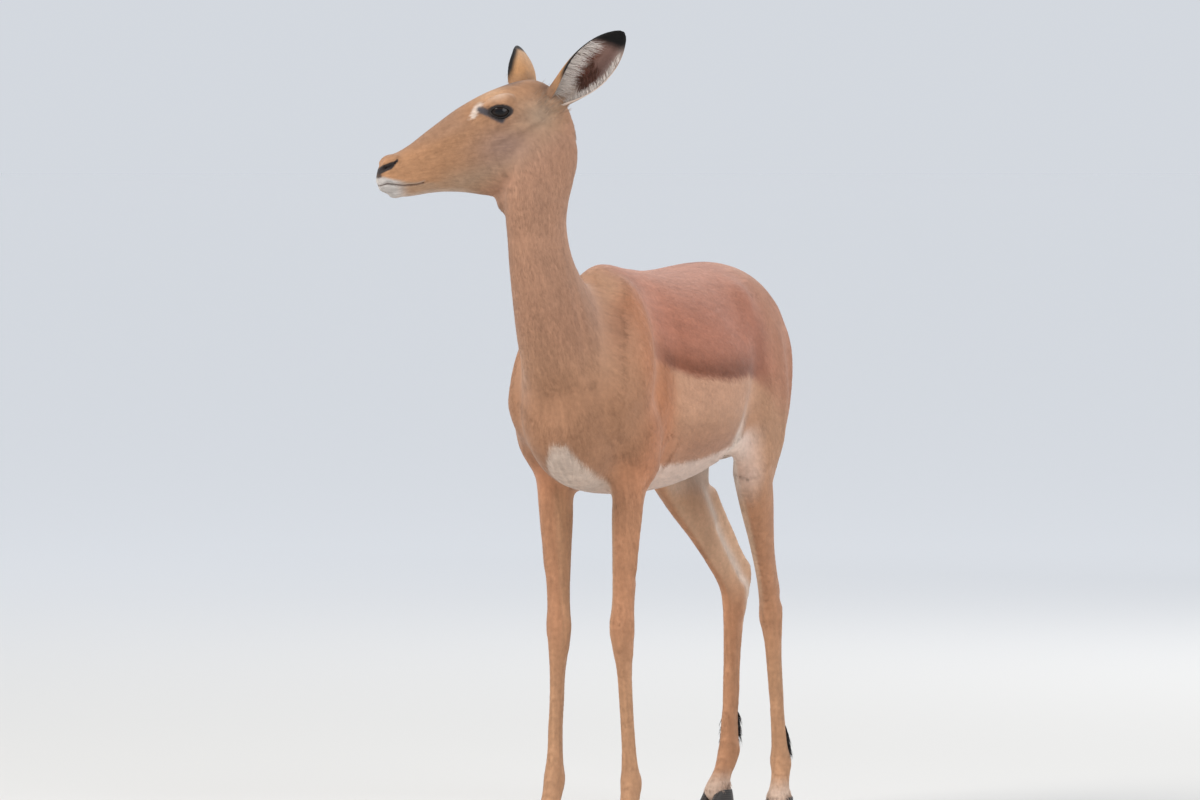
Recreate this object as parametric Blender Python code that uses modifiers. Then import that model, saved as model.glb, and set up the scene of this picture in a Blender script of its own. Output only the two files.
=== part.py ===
"""A female impala standing with its head raised and turned to its right.

Metres, +Z up. The animal faces -Y and its left is +X. The flesh is lofted limb by limb, joined into
one closed skin by a remesh, thinned, and then parted by thin cuts into the pieces of the body.
"""

import math

import bmesh
import bpy
import numpy as np
from mathutils import Matrix, Vector

GAP = 0.00035                 # left between two pieces that meet
REMESH = 0.0055               # cell of the remesh that joins the flesh
FLESH_TRIANGLES = 4300

# Heights above the floor.
WITHERS_Z = 0.858
CROUP_Z = 0.855
BELLY_Z = 0.520
ELBOW_Z = 0.555
CARPUS_Z = 0.322
FORE_FETLOCK_Z = 0.095
HIND_FETLOCK_Z = 0.093
CORONET_Z = 0.035

# Head: turned to the animal's right, nose lowered.
HEAD_TURN = math.radians(52.0)
HEAD_DROP = math.radians(20.0)
HEAD_AT = Vector((-0.067, -0.420, 1.077))
EYE_RADIUS = 0.0170
EYE_OUT = 0.0335
EYE_UP = 0.0030
EAR_WALL = 0.0026

# Cuts between the pieces: a point and the direction the far side lies in.
NECK_CUT = (Vector((0.0, -0.315, 0.770)), Vector((0.0, -0.80, 0.60)).normalized())
HEAD_CUT = (Vector((-0.020, -0.383, 1.022)), Vector((-0.50, -0.40, 0.77)).normalized())
FORE_CUT = (Vector((0.0, -0.20, 0.505)), Vector((0.0, 0.0, -1.0)))
HIND_CUT = (Vector((0.0, 0.150, 0.515)), Vector((0.0, 0.225, -0.250)).normalized())
FORE_CARPUS_CUT_Z = 0.296
FORE_FETLOCK_CUT_Z = 0.112
HIND_HOCK_CUT_Z = 0.290
HIND_FETLOCK_CUT_Z = 0.112


def clear_scene():
    for thing in list(bpy.data.objects):
        bpy.data.objects.remove(thing, do_unlink=True)


def colour(red, green, blue):
    """An sRGB colour of 0 to 255 as the linear colour that Blender keeps."""
    parts = np.array([red, green, blue]) / 255.0
    linear = np.where(parts <= 0.04045, parts / 12.92, ((parts + 0.055) / 1.055) ** 2.4)
    return (*linear, 1.0)


def material(name, rgb, roughness):
    made = bpy.data.materials.new(name)
    made.use_nodes = True
    shader = made.node_tree.nodes["Principled BSDF"]
    shader.inputs["Base Color"].default_value = colour(*rgb)
    shader.inputs["Roughness"].default_value = roughness
    made.diffuse_color = colour(*rgb)
    return made


def spline(stations, steps):
    """Rows of numbers carried smoothly through the given rows, by a Catmull-Rom curve."""
    rows = np.asarray(stations, float)
    padded = np.vstack([2 * rows[0] - rows[1], rows, 2 * rows[-1] - rows[-2]])
    count = (len(rows) - 1) * steps
    where = np.linspace(0, len(rows) - 1, count + 1)
    low = np.minimum(where.astype(int), len(rows) - 2)
    t = (where - low)[:, None]
    a, b, c, d = padded[low], padded[low + 1], padded[low + 2], padded[low + 3]
    return 0.5 * (2 * b + (c - a) * t + (2 * a - 5 * b + 4 * c - d) * t**2
                  + (3 * b - a - 3 * c + d) * t**3)


def loft(rings):
    """Points and faces of a closed body through rings of equal length, each end drawn to a point."""
    rings = np.asarray(rings)
    count, around = rings.shape[:2]
    points = np.vstack([rings.reshape(-1, 3), rings[0].mean(0), rings[-1].mean(0)])
    faces = []
    for i in range(count - 1):
        for j in range(around):
            k = (j + 1) % around
            faces.append((i * around + j, i * around + k, (i + 1) * around + k, (i + 1) * around + j))
    first, last = count * around, count * around + 1
    for j in range(around):
        k = (j + 1) % around
        faces.append((k, j, first))
        faces.append(((count - 1) * around + j, (count - 1) * around + k, last))
    return points, faces


def open_sheet(grid):
    """Points and faces of an open surface through a grid of points."""
    rows, columns = grid.shape[:2]
    faces = []
    for i in range(rows - 1):
        for j in range(columns - 1):
            corner = i * columns + j
            faces.append((corner, corner + 1, corner + columns + 1, corner + columns))
    return grid.reshape(-1, 3), faces


def section(across, up_high, up_low, power_high, power_low, taper, around=28):
    """An egg-shaped outline: half width across, height above and below, squareness of each half."""
    angle = np.linspace(0, 2 * np.pi, around, endpoint=False)
    high = np.sin(angle) >= 0
    power = np.where(high, power_high, power_low)
    x = across * np.sign(np.cos(angle)) * np.abs(np.cos(angle)) ** (2 / power)
    y = np.where(high, up_high, up_low) * np.sign(np.sin(angle)) * np.abs(np.sin(angle)) ** (2 / power)
    return x * (1 + taper * y / max(up_high, up_low)), y


def tube(stations, yaw, steps=4, around=24):
    """A limb. Each station is x, y, z, fore-and-aft radius, sideways radius. Yaw turns its toe out."""
    rows = spline(stations, steps)
    path, fore, side = rows[:, :3], rows[:, 3], rows[:, 4]
    along = np.gradient(path, axis=0)
    along /= np.linalg.norm(along, axis=1)[:, None]
    left = np.array([math.cos(yaw), math.sin(yaw), 0.0])
    front = np.cross(left, along)
    front /= np.linalg.norm(front, axis=1)[:, None]
    sideways = np.cross(along, front)
    angle = np.linspace(0, 2 * np.pi, around, endpoint=False)
    rings = [path[i] + np.outer(np.cos(angle) * side[i], sideways[i])
             + np.outer(np.sin(angle) * fore[i], front[i]) for i in range(len(path))]
    return loft(rings)


def head_axes():
    """Forward, left and up of the head, as columns."""
    turn, drop = HEAD_TURN, HEAD_DROP
    ahead = Vector((-math.sin(turn), -math.cos(turn), 0.0))
    left = Vector((math.cos(turn), -math.sin(turn), 0.0))
    forward = ahead * math.cos(drop) + Vector((0, 0, -math.sin(drop)))
    up = ahead * math.sin(drop) + Vector((0, 0, math.cos(drop)))
    return Matrix((forward, left, up)).transposed()


def in_head(forward, left, up):
    return HEAD_AT + head_axes() @ Vector((forward, left, up))


def ball(centre, radii, axes=None):
    """The matrix that makes a unit sphere an ellipsoid with these radii along the axes."""
    turn = (axes or Matrix.Identity(3)).to_4x4()
    return Matrix.Translation(Vector(centre)) @ turn @ Matrix.Diagonal((*radii, 1.0))


def trunk():
    """Ribs, belly, loin and rump: y, half width, top, widest height, bottom, squareness above, below."""
    rows = spline([
        (-0.365, 0.030, 0.690, 0.640, 0.600, 2.0, 2.0),
        (-0.345, 0.058, 0.735, 0.640, 0.565, 2.0, 2.0),
        (-0.300, 0.078, 0.790, 0.650, 0.535, 1.9, 2.0),
        (-0.240, 0.088, 0.840, 0.655, 0.522, 1.7, 2.0),
        (-0.190, 0.100, WITHERS_Z, 0.660, 0.517, 1.6, 2.1),
        (-0.120, 0.114, 0.852, 0.665, 0.514, 1.7, 2.2),
        (-0.040, 0.126, 0.846, 0.670, BELLY_Z - 0.004, 1.9, 2.2),
        (0.040, 0.128, 0.847, 0.680, BELLY_Z + 0.004, 2.0, 2.2),
        (0.110, 0.120, 0.851, 0.695, 0.534, 2.1, 2.1),
        (0.170, 0.110, CROUP_Z, 0.715, 0.552, 2.1, 2.0),
        (0.230, 0.106, CROUP_Z, 0.725, 0.580, 2.1, 2.0),
        (0.290, 0.098, 0.845, 0.730, 0.610, 2.1, 2.0),
        (0.340, 0.082, 0.822, 0.730, 0.635, 2.1, 2.0),
        (0.372, 0.054, 0.794, 0.725, 0.655, 2.0, 2.0),
        (0.386, 0.024, 0.765, 0.720, 0.675, 2.0, 2.0),
    ], 3)
    rings = []
    for y, across, top, wide, bottom, high, low in rows:
        x, z = section(across, top - wide, wide - bottom, high, low, 0.0)
        rings.append(np.stack([x, np.full_like(x, y), wide + z], 1))
    return loft(rings)


def neck():
    """The neck rises from the chest and twists with the head: place, depth, half width, twist, taper."""
    rows = spline([
        (0.000, -0.225, 0.690, 0.140, 0.076, 0.0, -0.50),
        (-0.001, -0.285, 0.728, 0.112, 0.064, 0.0, -0.42),
        (-0.005, -0.336, 0.782, 0.087, 0.0510, 2.0, -0.30),
        (-0.010, -0.369, 0.840, 0.066, 0.0425, 6.0, -0.20),
        (-0.014, -0.384, 0.900, 0.0535, 0.0378, 14.0, -0.15),
        (-0.013, -0.3905, 0.955, 0.055, 0.0375, 24.0, -0.12),
        (-0.008, -0.383, 1.020, 0.0555, 0.0385, 36.0, -0.12),
        (-0.018, -0.384, 1.068, 0.042, 0.0360, 46.0, -0.12),
    ], 4)
    path = rows[:, :3]
    along = np.gradient(path, axis=0)
    along /= np.linalg.norm(along, axis=1)[:, None]
    rings = []
    for i, (_, _, _, deep, wide, twist, taper) in enumerate(rows):
        turn = math.radians(twist)
        left = np.array([math.cos(turn), -math.sin(turn), 0.0])
        front = np.cross(left, along[i])
        front /= np.linalg.norm(front)
        left = np.cross(along[i], front)
        x, y = section(wide, deep, deep, 2.0, 2.0, taper)
        rings.append(path[i] + np.outer(x, left) - np.outer(y, front))
    return loft(rings)


def head():
    """Skull, face and jaw along the nose: forward, top, widest height, bottom, half width, taper."""
    rows = spline([
        (-0.101, -0.0120, -0.0420, -0.0740, 0.0210, 0.0000),
        (-0.087, 0.0120, -0.0360, -0.0920, 0.0330, 0.0500),
        (-0.068, 0.0275, -0.0300, -0.1060, 0.0410, 0.1000),
        (-0.043, 0.0328, -0.0260, -0.1140, 0.0425, 0.1400),
        (-0.018, 0.0336, -0.0240, -0.1185, 0.0430, 0.1600),
        (0.004, 0.0328, -0.0240, -0.1215, 0.0420, 0.1400),
        (0.028, 0.0300, -0.0260, -0.1200, 0.0390, 0.1100),
        (0.055, 0.0250, -0.0300, -0.1065, 0.0350, 0.0600),
        (0.083, 0.0172, -0.0320, -0.0920, 0.0300, 0.0000),
        (0.11, 0.0092, -0.0340, -0.0812, 0.0258, -0.0600),
        (0.133, 0.0020, -0.0360, -0.0750, 0.0230, -0.0800),
        (0.153, -0.0020, -0.0365, -0.0712, 0.0216, -0.0600),
        (0.169, -0.0022, -0.0365, -0.0672, 0.0200, 0.0000),
        (0.181, -0.0062, -0.0370, -0.0620, 0.0175, 0.0200),
        (0.1895, -0.0130, -0.0375, -0.0560, 0.0140, 0.0200),
        (0.1965, -0.0230, -0.0380, -0.0500, 0.0095, 0.0000),
        (0.2005, -0.0310, -0.0385, -0.0455, 0.0040, 0.0000),
    ], 3)
    axes = np.array(head_axes())
    rings = []
    for ahead, top, wide, bottom, across, taper in rows:
        x, z = section(across, top - wide, wide - bottom, 2.2, 2.0, taper)
        local = np.stack([np.full_like(x, ahead), x, wide + z], 1)
        rings.append(np.array(HEAD_AT) + local @ axes.T)
    return loft(rings)


def head_masses():
    """The brows, orbits, cheeks, ear roots, nostrils, chin and throat, as ellipsoids on the skull."""
    paired = [((-0.002, 0.0330, 0.0120), (0.027, 0.0165, 0.0145)),
              ((0.000, 0.0310, -0.0125), (0.026, 0.0160, 0.0150)),
              ((-0.012, 0.0190, -0.0720), (0.048, 0.0200, 0.0400)),
              ((0.170, 0.0098, -0.0145), (0.017, 0.0095, 0.0125))]
    single = [((-0.068, -0.0300, -0.0010), (0.022, 0.0160, 0.0190)),
              ((-0.084, 0.0340, -0.0110), (0.021, 0.0175, 0.0185)),
              ((0.173, 0.0, -0.0590), (0.017, 0.0140, 0.0095)),
              ((0.016, 0.0, -0.1230), (0.027, 0.0240, 0.0320))]
    places = [((ahead, side * out, up), radii) for side in (-1, 1) for (ahead, out, up), radii in paired]
    return [ball(in_head(*place), radii, head_axes()) for place, radii in places + single]


def shoulder(side):
    """The blade of the shoulder and the muscle behind the upper arm."""
    blade = [(0.034, -0.180, 0.828, 0.022, 0.013), (0.053, -0.207, 0.775, 0.052, 0.028),
             (0.070, -0.245, 0.705, 0.064, 0.034), (0.071, -0.280, 0.645, 0.050, 0.031),
             (0.062, -0.288, 0.600, 0.026, 0.021)]
    arm = [(0.071, -0.275, 0.660, 0.040, 0.028), (0.077, -0.238, 0.618, 0.056, 0.032),
           (0.072, -0.214, 0.572, 0.048, 0.028), (0.062, -0.214, 0.530, 0.034, 0.022)]
    return [tube([(side * x, *rest) for x, *rest in rows], 0.0) for rows in (blade, arm)]


def between(start, end, t):
    return tuple(np.asarray(start) * (1 - t) + np.asarray(end) * t)


def foreleg(elbow, carpus, fetlock, toe, yaw):
    """Forearm, knee, cannon, fetlock and pastern on four joints, as lofts and balls."""
    back = np.array([-math.sin(yaw), math.cos(yaw), 0.0])
    rows = [
        (*elbow, 0.040, 0.0265),
        (*between(elbow, carpus, 0.25), 0.034, 0.0240),
        (*between(elbow, carpus, 0.52), 0.0265, 0.0205),
        (*between(elbow, carpus, 0.76), 0.0205, 0.0180),
        (*between(elbow, carpus, 0.92), 0.0195, 0.0182),
        (*carpus, 0.0205, 0.0192),
        (*between(carpus, fetlock, 0.12), 0.0185, 0.0165),
        (*between(carpus, fetlock, 0.30), 0.0145, 0.0128),
        (*between(carpus, fetlock, 0.58), 0.0135, 0.0118),
        (*between(carpus, fetlock, 0.84), 0.0148, 0.0126),
        (*fetlock, 0.0188, 0.0156),
        (*between(fetlock, toe, 0.42), 0.0165, 0.0148),
        (*between(fetlock, toe, 0.76), 0.0172, 0.0160),
        (*toe, 0.0212, 0.0192),
        (*between(fetlock, toe, 1.35), 0.0195, 0.0185),
    ]
    knob = np.asarray(carpus) + back * 0.012
    return [tube(rows, yaw)], [ball(knob, (0.010, 0.012, 0.016)),
                               ball(np.asarray(fetlock) + back * 0.011, (0.0125, 0.010, 0.012))]


def thigh(side, stifle):
    """The haunch in front, the rounded muscle behind, and the fold that runs to the flank."""
    sx, sy, sz = stifle
    front = [(side * 0.050, 0.205, 0.815, 0.060, 0.026), (side * 0.068, 0.225, 0.745, 0.088, 0.038),
             (side * 0.078, (0.235 + sy) / 2 + 0.012, 0.665, 0.094, 0.042),
             (side * 0.080, sy + 0.032, 0.600, 0.078, 0.037), (sx, sy + 0.022, sz - 0.010, 0.054, 0.030)]
    rear = [(side * 0.040, 0.322, 0.792, 0.036, 0.028), (side * 0.055, 0.330, 0.725, 0.049, 0.038),
            (side * 0.062, 0.316, 0.650, 0.050, 0.036),
            (side * 0.066, (0.300 + sy + 0.080) / 2, 0.580, 0.044, 0.030),
            (side * 0.067, sy + 0.078, 0.525, 0.031, 0.022), (side * 0.064, sy + 0.090, 0.478, 0.017, 0.014)]
    fold = [(side * 0.072, 0.085, 0.625, 0.030, 0.016), (side * 0.078, 0.125, 0.600, 0.030, 0.018),
            (side * 0.080, sy - 0.025, sz + 0.018, 0.030, 0.018), (sx, sy, sz - 0.015, 0.026, 0.020)]
    return [tube(front, 0.0), tube(rear, 0.0), tube(fold, 0.0)]


def hindleg(stifle, hock, fetlock, toe, yaw):
    """Gaskin, hock with its point, cannon, fetlock and pastern, as lofts and balls."""
    back = np.array([-math.sin(yaw), math.cos(yaw), 0.0])
    rows = [
        (*stifle, 0.050, 0.0320),
        (*between(stifle, hock, 0.27), 0.0440, 0.0270),
        (*between(stifle, hock, 0.52), 0.0330, 0.0205),
        (*between(stifle, hock, 0.76), 0.0265, 0.0165),
        (*between(stifle, hock, 0.94), 0.0255, 0.0172),
        (*(np.asarray(hock) + (0, 0, -0.018)), 0.0242, 0.0174),
        (*between(hock, fetlock, 0.14), 0.0222, 0.0160),
        (*between(hock, fetlock, 0.32), 0.0186, 0.0132),
        (*between(hock, fetlock, 0.62), 0.0170, 0.0120),
        (*between(hock, fetlock, 0.86), 0.0175, 0.0130),
        (*fetlock, 0.0200, 0.0160),
        (*between(fetlock, toe, 0.42), 0.0168, 0.0148),
        (*between(fetlock, toe, 0.76), 0.0172, 0.0160),
        (*toe, 0.0212, 0.0192),
        (*between(fetlock, toe, 1.35), 0.0195, 0.0185),
    ]
    point = np.asarray(hock) + back * 0.031 + (0, 0, 0.026)
    calf = np.asarray(between(stifle, hock, 0.30)) + back * 0.052 + (0, 0, 0.010)
    cord = [(*calf, 0.016, 0.014), (*between(calf, point, 0.5), 0.0125, 0.0090),
            (*between(calf, point, 0.85), 0.0110, 0.0088), (*point, 0.0122, 0.0100),
            (*(point - back * 0.006 + (0, 0, -0.028)), 0.0115, 0.0095),
            (*(np.asarray(between(hock, fetlock, 0.24)) + back * 0.006), 0.0120, 0.0100)]
    return [tube(rows, yaw), tube(cord, yaw)], [
        ball(np.asarray(fetlock) + back * 0.011, (0.0125, 0.010, 0.012))]


FORE = {
    "left": ((0.060, -0.222, ELBOW_Z), (0.055, -0.238, CARPUS_Z), (0.062, -0.220, FORE_FETLOCK_Z),
             (0.065, -0.242, CORONET_Z), math.radians(7)),
    "right": ((-0.064, -0.208, ELBOW_Z), (-0.051, -0.224, CARPUS_Z), (-0.060, -0.222, FORE_FETLOCK_Z),
              (-0.063, -0.244, CORONET_Z), math.radians(-7)),
}
HIND = {
    "left": ((0.084, 0.195, 0.560), (0.057, 0.344, 0.324), (0.068, 0.358, HIND_FETLOCK_Z - 0.007),
             (0.074, 0.336, CORONET_Z), math.radians(10)),
    "right": ((-0.082, 0.262, 0.555), (-0.049, 0.458, 0.345), (-0.059, 0.459, HIND_FETLOCK_Z - 0.003),
              (-0.069, 0.437, CORONET_Z), math.radians(-16)),
}
EARS = {
    "left": ((-0.0845, 0.035, -0.0070), (-0.192, 0.092, 0.042), (0.15, 1.0, -0.15)),
    "right": ((-0.057, -0.036, 0.003), (-0.073, -0.146, 0.064), (1.0, -0.2, 0.1)),
}
SIDES = (("left", 1), ("right", -1))


def mesh_object(name, lofts, finish, home, balls=()):
    """One object from several lofts and ellipsoids, its faces turned outwards."""
    work = bmesh.new()
    for points, faces in lofts:
        placed = [work.verts.new(tuple(map(float, p))) for p in points]
        for face in faces:
            work.faces.new([placed[i] for i in face])
    for place in balls:
        bmesh.ops.create_uvsphere(work, u_segments=16, v_segments=10, radius=1.0, matrix=place)
    bmesh.ops.recalc_face_normals(work, faces=work.faces)
    data = bpy.data.meshes.new(name)
    work.to_mesh(data)
    work.free()
    data.materials.append(finish)
    made = bpy.data.objects.new(name, data)
    home.objects.link(made)
    return made


def applied(thing):
    """Gives the object its modified mesh and drops the modifiers."""
    graph = bpy.context.evaluated_depsgraph_get()
    done = bpy.data.meshes.new_from_object(thing.evaluated_get(graph))
    thing.modifiers.clear()
    thing.data = done
    return thing


def flesh(finish, home):
    """The whole animal but its ears, tail, eyes and hooves, as one closed skin of flat faces."""
    lofts = [trunk(), neck(), head()]
    balls = head_masses() + [ball((0.0, 0.262, 0.590), (0.050, 0.070, 0.040))]
    for name, side in SIDES:
        lofts += shoulder(side) + thigh(side, HIND[name][0])
        for leg_lofts, leg_balls in (foreleg(*FORE[name]), hindleg(*HIND[name])):
            lofts += leg_lofts
            balls += leg_balls
    body = mesh_object("flesh", lofts, finish, home, balls)
    remesh = body.modifiers.new("Join", "REMESH")
    remesh.mode = "VOXEL"
    remesh.voxel_size = REMESH
    applied(body)
    smooth = body.modifiers.new("Smooth", "CORRECTIVE_SMOOTH")
    smooth.use_only_smooth = True
    smooth.iterations = 6
    smooth.factor = 0.5
    thin = body.modifiers.new("Thin", "DECIMATE")
    thin.ratio = FLESH_TRIANGLES / (2 * len(body.data.polygons))
    return applied(body)


def cut_away(data, point, direction):
    """Keeps the part behind the plane, drawn back by half the gap, and closes the cut."""
    work = bmesh.new()
    work.from_mesh(data)
    every = work.verts[:] + work.edges[:] + work.faces[:]
    bmesh.ops.bisect_plane(work, geom=every, plane_co=point - direction * GAP / 2, plane_no=direction,
                           clear_outer=True)
    rim = [edge for edge in work.edges if edge.is_boundary]
    bmesh.ops.holes_fill(work, edges=rim, sides=0)
    bmesh.ops.triangulate(work, faces=work.faces[:])
    bmesh.ops.recalc_face_normals(work, faces=work.faces)
    work.to_mesh(data)
    work.free()


def piece_of(body, name, planes, finish, home):
    """A copy of the flesh with everything beyond each plane cut away."""
    data = body.data.copy()
    data.name = name
    for point, direction in planes:
        cut_away(data, point, direction)
    data.materials.clear()
    data.materials.append(finish)
    made = bpy.data.objects.new(name, data)
    home.objects.link(made)
    return made


def turned(plane):
    return plane[0], -plane[1]


def part_flesh(body, finish, home):
    """Parts the flesh into head, neck, trunk, and three lengths of each leg."""
    made = {}
    made["head"] = piece_of(body, "head", [turned(HEAD_CUT)], finish, home)
    made["neck"] = piece_of(body, "neck", [HEAD_CUT, turned(NECK_CUT)], finish, home)
    made["trunk"] = piece_of(body, "trunk", [NECK_CUT, FORE_CUT, HIND_CUT], finish, home)
    middle = Vector((0, 0.05, 0))
    for name, side in SIDES:
        inner = (Vector((0, 0, 0)), Vector((-side, 0, 0)))
        for leg, top, middle_z, low_z, ahead in (
            ("foreleg", FORE_CUT, FORE_CARPUS_CUT_Z, FORE_FETLOCK_CUT_Z, Vector((0, 1, 0))),
            ("hindleg", HIND_CUT, HIND_HOCK_CUT_Z, HIND_FETLOCK_CUT_Z, Vector((0, -1, 0))),
        ):
            own = [inner, (middle, ahead), turned(top)]
            down, up = Vector((0, 0, -1)), Vector((0, 0, 1))
            high, low = Vector((0, 0, middle_z)), Vector((0, 0, low_z))
            sole = Vector((0, 0, CORONET_Z))
            for part, planes in (("upper", [(high, down)]), ("cannon", [(high, up), (low, down)]),
                                 ("pastern", [(low, up), (sole, down)])):
                label = f"{leg}_{part}_{name}"
                made[label] = piece_of(body, label, own + planes, finish, home)
    return made


def claw(toe, yaw, half):
    """One of the two claws of a foot: sections from the floor up to the coronet."""
    lean = np.array([math.sin(yaw), -math.cos(yaw), 0.0])
    across = np.array([math.cos(yaw), math.sin(yaw), 0.0])
    rings = []
    for height, heel, tip, wide in ((0.0, -0.0215, 0.0400, 0.0098), (0.004, -0.0225, 0.0390, 0.0104),
                                    (0.014, -0.0225, 0.0310, 0.0102), (0.026, -0.0205, 0.0210, 0.0096),
                                    (CORONET_Z - GAP, -0.0180, 0.0130, 0.0088)):
        angle = np.linspace(0, 2 * np.pi, 14, endpoint=False)
        along = (tip + heel) / 2 + (tip - heel) / 2 * np.cos(angle)
        thick = wide * np.sin(angle) * (1 - 0.38 * np.cos(angle) * (1 - height / 0.05))
        centre = np.asarray(toe) + across * half * 0.0112
        ring = centre + np.outer(along, lean) + np.outer(thick, across)
        ring[:, 2] = height
        rings.append(ring)
    return loft(rings)


def ear(name, root, tip, opening, finish, home):
    """A leaf-shaped cup whose two edges roll in near the root: share of the way to the tip, radius of
    its arc, half its angle, and how far it leans back."""
    root, tip = in_head(*root), in_head(*tip)
    axis = tip - root
    face = head_axes() @ Vector(opening)
    face = (face - face.project(axis)).normalized()
    edge = axis.cross(face).normalized()
    rings = []
    for s, radius, arc, bend in ((0.00, 0.0180, 152, 0.001), (0.12, 0.0215, 138, 0.000),
                                 (0.28, 0.0265, 118, 0.001), (0.45, 0.0300, 98, 0.002),
                                 (0.60, 0.0305, 82, 0.003), (0.74, 0.0285, 70, 0.0045),
                                 (0.86, 0.0235, 60, 0.0085), (0.95, 0.0160, 52, 0.0150),
                                 (1.00, 0.0085, 46, 0.0215)):
        spread = np.radians(np.linspace(-arc, arc, 11))
        centre = np.array(root + axis * s - face * bend)
        rings.append(centre + (np.outer(np.sin(spread), edge) - np.outer(np.cos(spread), face)) * radius)
    made = mesh_object(name, [open_sheet(np.array(rings))], finish, home)
    wall = made.modifiers.new("Wall", "SOLIDIFY")
    wall.thickness = EAR_WALL
    wall.offset = 0
    return applied(made)


def tail(finish, home):
    """The tail hangs close behind the buttocks."""
    rows = [(0.0, 0.345, 0.790, 0.010, 0.013), (0.0, 0.384, 0.784, 0.0120, 0.0160),
            (0.0, 0.4040, 0.750, 0.0115, 0.0190), (0.0, 0.4040, 0.695, 0.0105, 0.0200),
            (0.0, 0.3960, 0.635, 0.0095, 0.0175), (0.0, 0.3900, 0.580, 0.0080, 0.0130),
            (0.0, 0.3860, 0.540, 0.0045, 0.0060)]
    return mesh_object("tail", [tube(rows, 0.0, 2, 12)], finish, home)


def swollen(body, extra, cutters):
    """A hidden copy of a solid, a little larger, to cut its neighbour with."""
    data = body.data.copy()
    normals = np.empty(len(data.vertices) * 3)
    data.vertices.foreach_get("normal", normals)
    points = np.empty(len(data.vertices) * 3)
    data.vertices.foreach_get("co", points)
    data.vertices.foreach_set("co", points + normals * extra)
    made = bpy.data.objects.new(body.name + "_cutter", data)
    cutters.objects.link(made)
    made.hide_render = True
    made.display_type = "WIRE"
    return made


def subtract(thing, cutter):
    difference = thing.modifiers.new("Fit", "BOOLEAN")
    difference.operation = "DIFFERENCE"
    difference.solver = "EXACT"
    difference.object = cutter
    applied(thing)


def keep_largest(thing):
    """Drops any loose crumb that a cut left beside the main body."""
    work = bmesh.new()
    work.from_mesh(thing.data)
    left = set(work.verts)
    groups = []
    while left:
        stack, group = [left.pop()], []
        while stack:
            vert = stack.pop()
            group.append(vert)
            for edge in vert.link_edges:
                other = edge.other_vert(vert)
                if other in left:
                    left.remove(other)
                    stack.append(other)
        groups.append(group)
    groups.sort(key=len)
    for group in groups[:-1]:
        bmesh.ops.delete(work, geom=group, context="VERTS")
    work.to_mesh(thing.data)
    work.free()


def centre_all(things):
    """Moves the whole animal so that its box stands centred on the origin, soles on the floor."""
    corners = np.vstack([np.array([v.co for v in thing.data.vertices]) for thing in things])
    low, high = corners.min(0), corners.max(0)
    shift = Matrix.Translation((-(low[0] + high[0]) / 2, -(low[1] + high[1]) / 2, -low[2]))
    for thing in things:
        thing.data.transform(shift)


def build():
    clear_scene()
    home = bpy.data.collections.new("impala")
    cutters = bpy.data.collections.new("cutters")
    bpy.context.scene.collection.children.link(home)
    bpy.context.scene.collection.children.link(cutters)
    coat = material("hair coat", (178, 128, 98), 0.85)
    skin = material("ear skin", (150, 112, 96), 0.8)
    wet = material("eye", (28, 20, 16), 0.1)
    horn = material("hoof horn", (40, 36, 34), 0.45)

    body = flesh(coat, home)
    made = part_flesh(body, coat, home)
    for name, side in SIDES:
        label = f"eye_{name}"
        place = ball(in_head(0.0, side * EYE_OUT, EYE_UP), (EYE_RADIUS,) * 3)
        made[label] = mesh_object(label, [], wet, home, [place])
        subtract(made["head"], swollen(made[label], GAP, cutters))
    left_ear = ear("ear_left", *EARS["left"], skin, home)
    right_ear = ear("ear_right", *EARS["right"], skin, home)
    rear = tail(coat, home)
    near_head = swollen(made["head"], GAP, cutters)
    for thing in (left_ear, right_ear):
        subtract(thing, near_head)
    for name in ("trunk", "hindleg_upper_left", "hindleg_upper_right"):
        subtract(rear, swollen(made[name], GAP, cutters))
    for thing in (left_ear, right_ear, rear):
        keep_largest(thing)
        made[thing.name] = thing
    for name, side in SIDES:
        for leg, joints in (("fore", FORE[name]), ("hind", HIND[name])):
            for which, half in (("inner", -side), ("outer", side)):
                label = f"claw_{leg}_{which}_{name}"
                made[label] = mesh_object(label, [claw(joints[3], joints[4], half)], horn, home)
    bpy.data.objects.remove(body, do_unlink=True)
    centre_all(list(made.values()))


build()
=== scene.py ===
"""A female impala, life size, standing with its head raised and turned to its right.

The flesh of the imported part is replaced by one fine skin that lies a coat's depth inside it. Over the
skin lie small tufts of hair. Eyes, lids, ears and hooves are pieces of their own. Metres, +Z up.
"""

import math

import bpy
import numpy as np
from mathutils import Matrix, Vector


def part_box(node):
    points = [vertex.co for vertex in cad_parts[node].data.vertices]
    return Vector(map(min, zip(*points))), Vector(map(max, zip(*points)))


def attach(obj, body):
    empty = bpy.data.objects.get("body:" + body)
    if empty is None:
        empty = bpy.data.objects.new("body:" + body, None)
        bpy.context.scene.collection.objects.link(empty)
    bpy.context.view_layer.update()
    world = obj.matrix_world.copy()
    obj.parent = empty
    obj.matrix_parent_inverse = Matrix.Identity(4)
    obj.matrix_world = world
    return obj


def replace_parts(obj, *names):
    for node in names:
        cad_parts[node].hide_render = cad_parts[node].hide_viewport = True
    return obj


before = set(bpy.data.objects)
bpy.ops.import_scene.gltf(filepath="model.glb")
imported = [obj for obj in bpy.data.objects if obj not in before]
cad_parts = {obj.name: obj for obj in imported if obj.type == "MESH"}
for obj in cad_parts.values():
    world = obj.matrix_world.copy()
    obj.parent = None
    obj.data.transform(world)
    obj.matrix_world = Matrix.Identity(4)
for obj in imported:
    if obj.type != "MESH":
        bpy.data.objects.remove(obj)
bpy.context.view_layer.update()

# The plan of the animal, in the same numbers as the part's: heights, joints and the head's place.
WITHERS_Z, CROUP_Z, BELLY_Z, ELBOW_Z, CARPUS_Z = 0.858, 0.855, 0.52, 0.555, 0.322
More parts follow.
